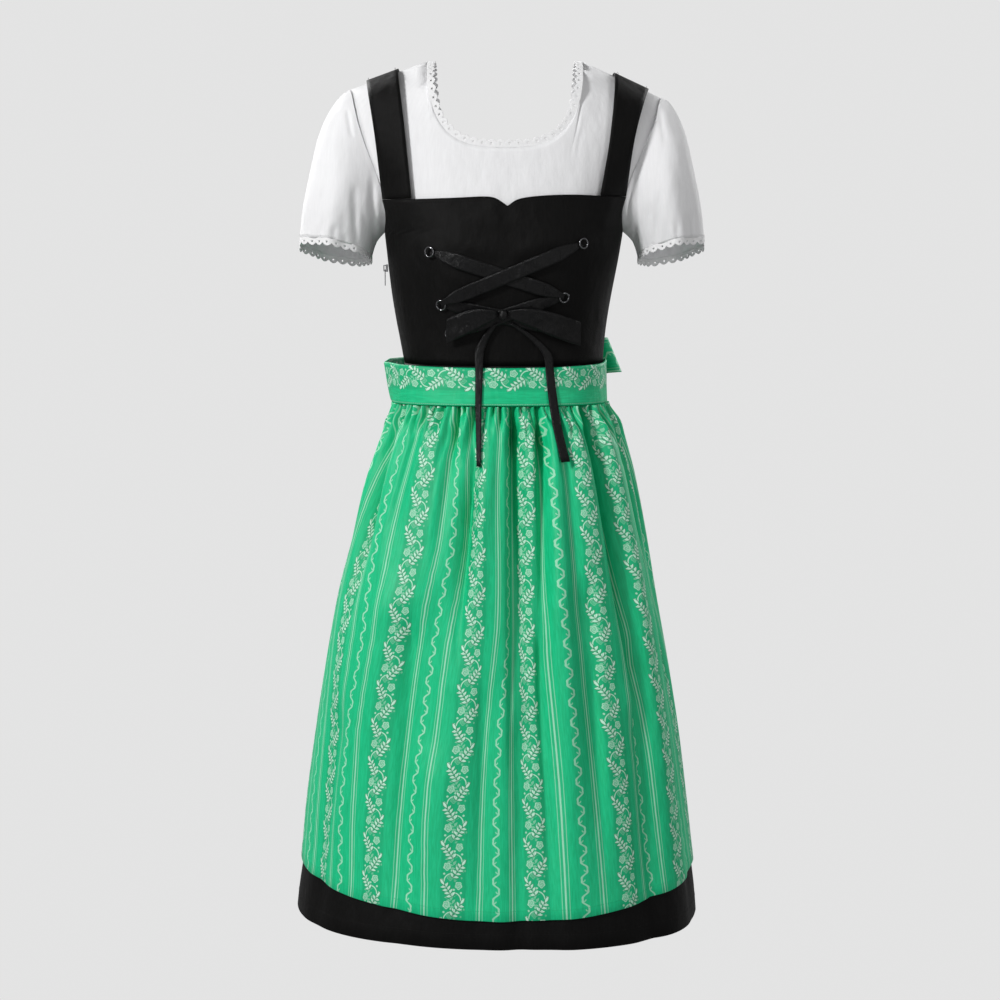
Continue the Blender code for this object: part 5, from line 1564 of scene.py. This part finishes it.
def finish_tree(tree, entry, ending, instances):
    """Every tree ends alike: real meshes with their finish and smooth shading."""
    real = tree.nodes.new("GeometryNodeRealizeInstances")
    shade = tree.nodes.new("GeometryNodeSetShadeSmooth")
    coat = tree.nodes.new("GeometryNodeSetMaterial")
    tree.links.new(instances, real.inputs[0])
    tree.links.new(real.outputs[0], shade.inputs[0])
    tree.links.new(shade.outputs[0], coat.inputs[0])
    tree.links.new(entry.outputs["Finish"], coat.inputs["Material"])
    tree.links.new(coat.outputs[0], ending.inputs[0])


def link_all(tree, *pairs):
    """Links each pair of an output and an input."""
    for output, socket in pairs:
        tree.links.new(output, socket)


def build_row_tree(name, subdivisions, turned):
    """Rounded grains along a path at an even spacing, which lie along it if turned."""
    tree, entry, ending, names = node_tree(
        name, {"Spacing": "NodeSocketFloat", "Size": "NodeSocketVector", "Finish": "NodeSocketMaterial"}
    )
    path = tree.nodes.new("GeometryNodeMeshToCurve")
    spots = tree.nodes.new("GeometryNodeCurveToPoints")
    spots.mode = "LENGTH"
    grain = tree.nodes.new("GeometryNodeMeshIcoSphere")
    grain.inputs["Radius"].default_value = 1.0
    grain.inputs["Subdivisions"].default_value = subdivisions
    lay = tree.nodes.new("GeometryNodeInstanceOnPoints")
    link_all(
        tree,
        (entry.outputs["Geometry"], path.inputs[0]),
        (path.outputs[0], spots.inputs["Curve"]),
        (entry.outputs["Spacing"], spots.inputs["Length"]),
        (spots.outputs["Points"], lay.inputs["Points"]),
        (grain.outputs["Mesh"], lay.inputs["Instance"]),
        (entry.outputs["Size"], lay.inputs["Scale"]),
    )
    if turned:
        tree.links.new(spots.outputs["Rotation"], lay.inputs["Rotation"])
    finish_tree(tree, entry, ending, lay.outputs["Instances"])
    return tree, names


stitch_tree = build_row_tree("row of stitches", 1, turned=True)
teeth_tree = build_row_tree("zip teeth", 2, turned=False)


def path_mesh(name, paths):
    """Open lines through points; a path whose ends meet is closed by repeating its first point."""
    mesh = bpy.data.meshes.new(name)
    points, edges = [], []
    for path in paths:
        first = len(points)
        points += [tuple(point) for point in path]
        edges += [(first + i, first + i + 1) for i in range(len(path) - 1)]
    mesh.from_pydata(points, edges, [])
    return mesh


def grown(name, mesh, built, **values):
    """The real meshes that a built tree makes on a mesh, with values for its inputs."""
    tree, names = built
    made = bpy.data.objects.new(name, mesh)
    bpy.context.scene.collection.objects.link(made)
    grow = made.modifiers.new(tree.name, "NODES")
    grow.node_group = tree
    for title, value in values.items():
        grow[names[title]] = value
    settle(made)
    return made


def stitches(name, paths, slot, thread, spacing=0.0028, length=0.0022, radius=0.00028):
    """Rows of stitches along paths, in a slot's thread."""
    size = (radius, radius, length / 2)
    made = grown(name, path_mesh(name, paths), stitch_tree, Spacing=spacing, Size=size, Finish=thread)
    hold(made, slot)


def build_eyelet_tree():
    """A rim of thread round each eyelet: a ring set at every point, square to its facing."""
    tree, entry, ending, names = node_tree(
        "rims of eyelets",
        {"Radius": "NodeSocketFloat", "Thread": "NodeSocketFloat", "Finish": "NodeSocketMaterial"},
    )
    circle = tree.nodes.new("GeometryNodeCurvePrimitiveCircle")
    circle.inputs["Resolution"].default_value = 12
    thread = tree.nodes.new("GeometryNodeCurvePrimitiveCircle")
    thread.inputs["Resolution"].default_value = 5
    rim = tree.nodes.new("GeometryNodeCurveToMesh")
    facing = tree.nodes.new("GeometryNodeInputNamedAttribute")
    facing.data_type = "FLOAT_VECTOR"
    facing.inputs["Name"].default_value = "facing"
    turn = tree.nodes.new("FunctionNodeAlignRotationToVector")
    turn.axis = "Z"
    lay = tree.nodes.new("GeometryNodeInstanceOnPoints")
    link_all(
        tree,
        (entry.outputs["Radius"], circle.inputs["Radius"]),
        (entry.outputs["Thread"], thread.inputs["Radius"]),
        (circle.outputs["Curve"], rim.inputs["Curve"]),
        (thread.outputs["Curve"], rim.inputs["Profile Curve"]),
        (facing.outputs["Attribute"], turn.inputs["Vector"]),
        (entry.outputs["Geometry"], lay.inputs["Points"]),
        (rim.outputs["Mesh"], lay.inputs["Instance"]),
        (turn.outputs["Rotation"], lay.inputs["Rotation"]),
    )
    finish_tree(tree, entry, ending, lay.outputs["Instances"])
    return tree, names


eyelet_tree = build_eyelet_tree()


def eyelet_rims(name, spots, sizes):
    """Rims at spots, each a place and the way it faces."""
    mesh = bpy.data.meshes.new(name)
    mesh.from_pydata([tuple(at) for at, _ in spots], [], [])
    facing = mesh.attributes.new("facing", "FLOAT_VECTOR", "POINT")
    facing.data.foreach_set("vector", np.array([tuple(way) for _, way in spots], np.float32).ravel())
    radius, thread = sizes.rim_radius, sizes.rim_thread
    made = grown(name, mesh, eyelet_tree, Radius=radius, Thread=thread, Finish=white_thread)
    hold(made, "white_lace")


# ------------------------------------------------------------------ eyelet lace
CELLS_ALONG, CELLS_DOWN, CELL_STEPS = 3, 3, 4
EYELET_CELLS = ((1, 1),)


def even_turns(point_at, steps=1440):
    """A function from a share of an edge's length to the turn that reaches it."""
    turns = np.linspace(0.0, 1.0, steps + 1)
    points = [point_at(turn % 1.0, 0.0) for turn in turns]
    lengths = [(after - before).length for before, after in zip(points, points[1:])]
    reached = np.concatenate([[0.0], np.cumsum(lengths)])
    return lambda share: float(np.interp(share * reached[-1], reached, turns)) % 1.0


def eyelet_lace(name, sizes, point_at):
    """Scalloped lace with real eyelets; point_at gives a point from a turn round the edge and an inset."""
    scallops, width, length = sizes.scallops, sizes.width, sizes.length
    turn_of = even_turns(point_at)
    shape = bmesh.new()
    found, spots, places = {}, [], {}

    def at(s, u, v):
        reach = width - sizes.notch * (1 - math.sin(math.pi * min(max(u, 0.0), 1.0)) ** 0.9)
        share = ((s + u) / scallops) % 1.0
        return point_at(turn_of(share), v * reach), ((s + u) / scallops * length, v * reach)

    def vertex(s, u, v):
        key = (round(((s + u) % scallops) * 240), round(v * 240))
        if key not in found:
            point, place_on_cut = at(s, u, v)
            found[key] = shape.verts.new(point)
            places[found[key]] = place_on_cut
        return found[key]

    for s in range(scallops):
        for a in range(CELLS_ALONG):
            for b in range(CELLS_DOWN):
                wide, tall = 1 / CELLS_ALONG, 1 / CELLS_DOWN
                ticks = [i / CELL_STEPS for i in range(CELL_STEPS + 1)]
                if (a, b) not in EYELET_CELLS:
                    for i in range(CELL_STEPS):
                        for j in range(CELL_STEPS):
                            corners = ((ticks[i], ticks[j]), (ticks[i + 1], ticks[j]))
                            corners += ((ticks[i + 1], ticks[j + 1]), (ticks[i], ticks[j + 1]))
                            shape.faces.new(
                                [vertex(s, (a + p) * wide, (b + q) * tall) for p, q in corners]
                            )
                    continue
                rim = [(p, 0.0) for p in ticks] + [(1.0, q) for q in ticks[1:]]
                rim += [(p, 1.0) for p in ticks[-2::-1]] + [(0.0, q) for q in ticks[-2:0:-1]]
                outer = [vertex(s, (a + p) * wide, (b + q) * tall) for p, q in rim]
                across, down = length / scallops * wide, width * tall
                inner = []
                for p, q in rim:
                    turn = math.atan2(q - 0.5, p - 0.5)
                    u = (a + 0.5 + math.cos(turn) * sizes.eyelet_radius / across) * wide
                    v = (b + 0.5 + math.sin(turn) * sizes.eyelet_radius / down) * tall
                    inner.append(vertex(s, u + 1e-7, v + 1e-7))
                for k in range(len(rim)):
                    after = (k + 1) % len(rim)
                    shape.faces.new((outer[k], outer[after], inner[after], inner[k]))
                middle, _ = at(s, (a + 0.5) * wide, (b + 0.5) * tall)
                beside, _ = at(s, (a + 0.7) * wide, (b + 0.5) * tall)
                below, _ = at(s, (a + 0.5) * wide, (b + 0.7) * tall)
                spots.append((middle, (beside - middle).cross(below - middle).normalized()))
    shape.verts.index_update()
    cut = np.array([places[vert] for vert in shape.verts])
    mesh = bpy.data.meshes.new(name)
    shape.to_mesh(mesh)
    shape.free()
    write_cut(mesh, cut, wrap=length)
    made = new_piece(name, mesh, white_lace)
    wall = made.modifiers.new("cloth", "SOLIDIFY")
    wall.thickness, wall.offset = 0.0008, 0.0
    settle(made)
    return made, spots


LACE_UNDER_SEAM = 0.0003  # how far the lace is sewn in under the cloth's edge


def cuff_edge_point(side, turn, inset):
    """A point below the sleeve's hem; inset is how far down it hangs."""
    return sleeve_hem_point(side, turn) - Vector((0, 0, inset - LACE_UNDER_SEAM))


def lace():
    """The eyelet lace of the neck and of both sleeves."""
    made, spots = eyelet_lace(
        "neck_lace_eyelets",
        NECK_LACE,
        lambda turn, inset: neck_edge_point(turn, inset - LACE_UNDER_SEAM),
    )
    hold(made, "white_lace", "neck_lace")
    eyelet_rims("neck_lace_rims", spots, NECK_LACE)
    for name, side in SIDES:
        made, spots = eyelet_lace(
            "cuff_lace_eyelets_" + name,
            CUFF_LACE,
            lambda turn, inset, side=side: cuff_edge_point(side, turn, inset),
        )
        hold(made, "white_lace", "cuff_lace_" + name)
        eyelet_rims("cuff_lace_rims_" + name, spots, CUFF_LACE)


# ------------------------------------------------------------------ seams and their stitches
def strap_point(side, share, across, lift):
    """A point of a strap: share is along it from the front seam, across it from the neck outwards."""
    face = FRONT if share <= 0.5 else BACK
    width = between(STRAPS[side], share)
    x = side * mix(width.inner, width.outer, across)
    foot = (STRAP_FOOT[side] if face == FRONT else BODICE_BACK_TOP) + SEAM_GAP
    below = below_of(shoulder_height(x) - foot) * abs(1 - 2 * share)
    spot = place(face, x, shoulder_height(x) - drop_of(below))
    return body_point(Vector((spot[0], below)), lift)


def side_seam_point(side, height):
    """A point of the bodice's side seam."""
    angle = side * math.pi / 2
    x = level_point(FIGURE, height, angle, 0.0).x
    return body_point(Vector((angle, below_of(shoulder_height(x) - height))))


THREAD_LIFT = 0.00005
EDGE_ROW, WAIST_ROW, APRON_HEM_ROW, SKIRT_HEM_ROW = 0.0040, 0.0060, 0.0110, 0.0180  # from each edge
HEM_MIDDLE, CUFF_ROW, CUFF_ROW_LIFT = 0.207, 0.0035, 0.0008
TOP_ROW_ENDS, WAIST_ROW_ENDS = (-0.106, 0.108), (-0.112, 0.112)
SIDE_SEAM_TOP, BAND_ROW = -0.2050, -0.4128


def seams():
    """Rows of stitches along the edges and seams, each a few millimetres inside its edge."""
    shares = [i / 90 for i in range(91)]
    on_cloth = PINAFORE_CLOTH / 2 + THREAD_LIFT
    top = []
    for share in shares:
        x = mix(*TOP_ROW_ENDS, share)
        top.append(front_point(x, between(BODICE_TOP, x).height - EDGE_ROW, on_cloth))
    waist = [front_point(mix(*WAIST_ROW_ENDS, share), WAIST + WAIST_ROW, on_cloth) for share in shares]
    back_inner = between(STRAPS[1], 1.0).inner
    back = []
    for share in shares:
        x = mix(-back_inner, back_inner, share)
        height = BODICE_BACK_TOP - BODICE_BACK_DIP * (1 - (x / back_inner) ** 2) - EDGE_ROW
        back.append(body_point(place(BACK, x, height), on_cloth))
    stitches("bodice_stitches", [top, waist, back], "black_satin_cotton", black_thread)
    edges = [
        [strap_point(side, mix(*ends, share), across, on_cloth) for share in shares]
        for _, side in SIDES
        for across in (0.08, 0.92)
        for ends in ((0.01, 0.485), (0.515, 0.99))
    ]
    stitches("strap_stitches", edges, "black_satin_cotton", black_thread)
    sides = [
        [side_seam_point(side, mix(SIDE_SEAM_TOP, end, share)) for share in shares]
        for side, end in ((1, WAIST), (-1, ZIP_TOP + 0.002))
    ]
    stitches("side_seam_stitches", sides, "black_satin_cotton", black_thread, 0.0016, 0.0024, 0.0006)

    turns = [mix(-APRON_HALF_WRAP + 0.8, APRON_HALF_WRAP - 0.8, i / 260) for i in range(261)]
    on_apron = APRON_CLOTH / 2 + THREAD_LIFT
    angles = [math.radians(degrees) for degrees in turns]
    hem = [creased_point(apron_hem(angle) + APRON_HEM_ROW, angle, on_apron) for angle in angles]
    low = []
    for degrees in turns:
        lift = BAND_CLOTH / 2 + THREAD_LIFT + band_ripple(BAND_ROW, degrees)
        low.append(level_point(BAND, BAND_ROW, math.radians(degrees), lift))
    stitches("apron_stitches", [hem, low], "green_print", green_thread, 0.0030, 0.0023, 0.00024)

    round_hem = [math.radians(mix(-89.0, 269.0, i / 420)) for i in range(421)]
    skirt_line = []
    for angle in round_hem:
        height = skirt_hem(angle) + SKIRT_HEM_ROW
        skirt_line.append(creased_point(height, angle, SKIRT_CLOTH / 2 + THREAD_LIFT - under_apron(height)))
    stitches("skirt_stitches", [skirt_line], "black_satin_cotton", black_thread, 0.0034, 0.0025)

    for name, side in SIDES:
        cuff = []
        for i in range(181):
            edge = sleeve_hem_point(side, i / 180)
            middle = Vector((side * HEM_MIDDLE, 0.0, edge.z))
            cuff.append(edge + (edge - middle).normalized() * CUFF_ROW_LIFT + Vector((0, 0, CUFF_ROW)))
        stitches("sleeve_stitches_" + name, [cuff], "white_cotton", white_thread, 0.0030, 0.0022, 0.00024)


# ------------------------------------------------------------------ rings
def front_normal(x, height):
    """The way that the front faces here."""
    step = 0.004
    across = front_point(x + step, height, 0.0) - front_point(x - step, height, 0.0)
    up = front_point(x, height + step, 0.0) - front_point(x, height - step, 0.0)
    return across.cross(up).normalized()


def lacing_ring(name, ring):
    """A round wire ring with a fine joint line where its ends meet."""
    around, wire_sides = 72, 14
    radius, wire = (RING_OUTER - RING_WIRE) / 2, RING_WIRE / 2
    vertices, faces = [], []
    for i in range(around):
        turn = 2 * math.pi * i / around
        pinch = wire * (0.90 if i == 0 else 1.0)
        for k in range(wire_sides):
            bend = 2 * math.pi * k / wire_sides
            beside, above = radius + pinch * math.cos(bend), pinch * math.sin(bend)
            vertices.append(Vector((math.cos(turn) * beside, math.sin(turn) * beside, above)))
    for i in range(around):
        for k in range(wire_sides):
            here, after = i * wire_sides, (i + 1) % around * wire_sides
            beside = (k + 1) % wire_sides
            faces.append((here + k, after + k, after + beside, here + beside))
    normal = front_normal(ring.across, ring.height)
    centre = front_point(ring.across, ring.height, 0.0) + normal * ring.lift
    stand = normal.to_track_quat("Z", "Y").to_matrix()
    mesh = bpy.data.meshes.new(name)
    mesh.from_pydata([tuple(stand @ vertex + centre) for vertex in vertices], [], faces)
    made = new_piece(name + "_wire", mesh, gunmetal)
    hold(made, "gunmetal", name)


# ------------------------------------------------------------------ side zip
TOOTH_PITCH, TOOTH_SIZE = 0.0012, (0.00075, 0.00095, 0.00042)


def zip_parts():
    """The side zip's teeth, tape, slider and pull tab."""
    rows = [[], []]
    for j in range(60):
        height = mix(ZIP_TOP - 0.0002, ZIP_END + 0.0004, j / 59)
        x = -between(FIGURE, height).right
        for row, side in zip(rows, (-1, 1)):
            row.append(Vector((x - 0.0002, side * 0.00055, height - (0.0006 if side > 0 else 0.0))))
    name = "zip_teeth_rows"
    lines = path_mesh(name, rows)
    made = grown(name, lines, teeth_tree, Spacing=TOOTH_PITCH, Size=TOOTH_SIZE, Finish=zip_nylon)
    hold(made, "zip_teeth", "zip_teeth")

    rows, cut = [], []
    heights = [mix(ZIP_TOP, ZIP_END, j / 40) for j in range(41)]
    for along in (-ZIP_HALF_WIDTH, -0.0011, 0.0011, ZIP_HALF_WIDTH):
        rows.append([Vector((0.0004 - between(FIGURE, height).right, along, height)) for height in heights])
        cut.append([(along, height) for height in heights])
    tape = cloth_shell("zip_tape", rows, cut, 0.0006, black_satin_cotton)
    hold(tape, "zip_teeth")

    for name in ("zip_slider", "zip_pull_tab"):
        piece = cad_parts[name]
        piece.data.materials.clear()
        piece.data.materials.append(zip_metal)
        weld = piece.modifiers.new("weld", "WELD")
        weld.merge_threshold = 0.00001
        round_off = piece.modifiers.new("rounded edges", "BEVEL")
        round_off.width, round_off.segments = 0.00022, 2
        round_off.limit_method, round_off.angle_limit = "ANGLE", math.radians(35)


# ------------------------------------------------------------------ the garment
apron_cloth()
skirt_cloth(FRONT)
skirt_cloth(BACK)
band_cloth()
for side_name, side_sign in SIDES:
    tie_cloth(side_name, side_sign)
    bow_loop_cloth(side_name, side_sign)
    bow_tail_cloth(side_name, side_sign)
    strap_cloth(side_name)
    sleeve_cloth(side_name, side_sign)
bow_knot_cloth()
for cloth_face in (FRONT, BACK):
    bodice_cloth(cloth_face)
    blouse_cloth(cloth_face)
lacing_ribbons()
lace()
seams()
for (pair, ring_side), ring_row in RINGS.items():
    lacing_ring(f"ring_{pair}_{'left' if ring_side > 0 else 'right'}", ring_row)
zip_parts()


# ------------------------------------------------------------------ floor, wall and light
def glow(tree, socket, seen, given):
    """A strength that is one value where it is looked at and another where it lights the cloth."""
    path = tree.nodes.new("ShaderNodeLightPath")
    strength = tree.nodes.new("ShaderNodeMapRange")
    strength.inputs["To Min"].default_value, strength.inputs["To Max"].default_value = given, seen
    tree.links.new(path.outputs["Is Camera Ray"], strength.inputs["Value"])
    tree.links.new(strength.outputs["Result"], socket)


FLOOR, SWEEP_RADIUS, SWEEP_SIDES = -1.40, 2.0, 72


def studio():
    """A pale floor that sweeps up into a wall all round, lit softly from the upper left."""
    mesh = bpy.data.meshes.new("sweep")
    profile = [(4.0, FLOOR), (8.0, FLOOR)]
    profile += [
        (8.0 + math.sin(turn) * SWEEP_RADIUS, FLOOR + (1 - math.cos(turn)) * SWEEP_RADIUS)
        for turn in [math.radians(9 * i) for i in range(1, 11)]
    ]
    profile += [(8.0 + SWEEP_RADIUS, 8.0)]
    round_turns = [2 * math.pi * i / SWEEP_SIDES for i in range(SWEEP_SIDES)]
    points = [
        (far * math.cos(turn), far * math.sin(turn), up) for far, up in profile for turn in round_turns
    ]
    faces = [tuple(range(SWEEP_SIDES))]
    for j in range(len(profile) - 1):
        for i in range(SWEEP_SIDES):
            here, after = j * SWEEP_SIDES + i, j * SWEEP_SIDES + (i + 1) % SWEEP_SIDES
            faces.append((here, after, after + SWEEP_SIDES, here + SWEEP_SIDES))
    mesh.from_pydata(points, [], faces)
    sweep = bpy.data.objects.new("sweep", mesh)
    bpy.context.scene.collection.objects.link(sweep)
    paper, tree, shader = new_finish("pale paper", 0.9, Specular_IOR_Level=0.0)
    shader.inputs["Base Color"].default_value = (0, 0, 0, 1)
    shader.inputs["Emission Color"].default_value = (1.0, 1.0, 1.0, 1)
    glow(tree, shader.inputs["Emission Strength"], PAPER_SEEN, ROOM_LIGHT)
    mesh.materials.append(paper)
    mesh.shade_smooth()

    world = bpy.data.worlds.new("soft room")
    world.use_nodes = True
    background = world.node_tree.nodes["Background"]
    background.inputs["Color"].default_value = (1, 1, 1, 1)
    glow(world.node_tree, background.inputs["Strength"], ROOM_SEEN, ROOM_LIGHT)
    bpy.context.scene.world = world
    for name, at, size, power in LIGHTS:
        light = bpy.data.objects.new(name, bpy.data.lights.new(name, "AREA"))
        light.data.size, light.data.energy = size, power
        light.location = at
        light.rotation_euler = (Vector((0, 0, -0.5)) - Vector(at)).to_track_quat("-Z", "Y").to_euler()
        bpy.context.scene.collection.objects.link(light)


PAPER_SEEN, ROOM_SEEN, ROOM_LIGHT = 0.772, 0.785, 0.26
LIGHTS = (
    ("key", (-2.8, -2.7, 1.7), 0.7, 146.0),
    ("fill", (2.4, -2.6, 0.4), 1.8, 20.0),
    ("low fill", (-0.7, -2.5, -1.25), 1.2, 9.0),
    ("back left", (-2.2, 2.4, 1.3), 1.6, 88.0),
    ("back right", (2.4, 2.2, 0.9), 1.8, 56.0),
)
studio()
bpy.context.scene.view_settings.view_transform = "Standard"
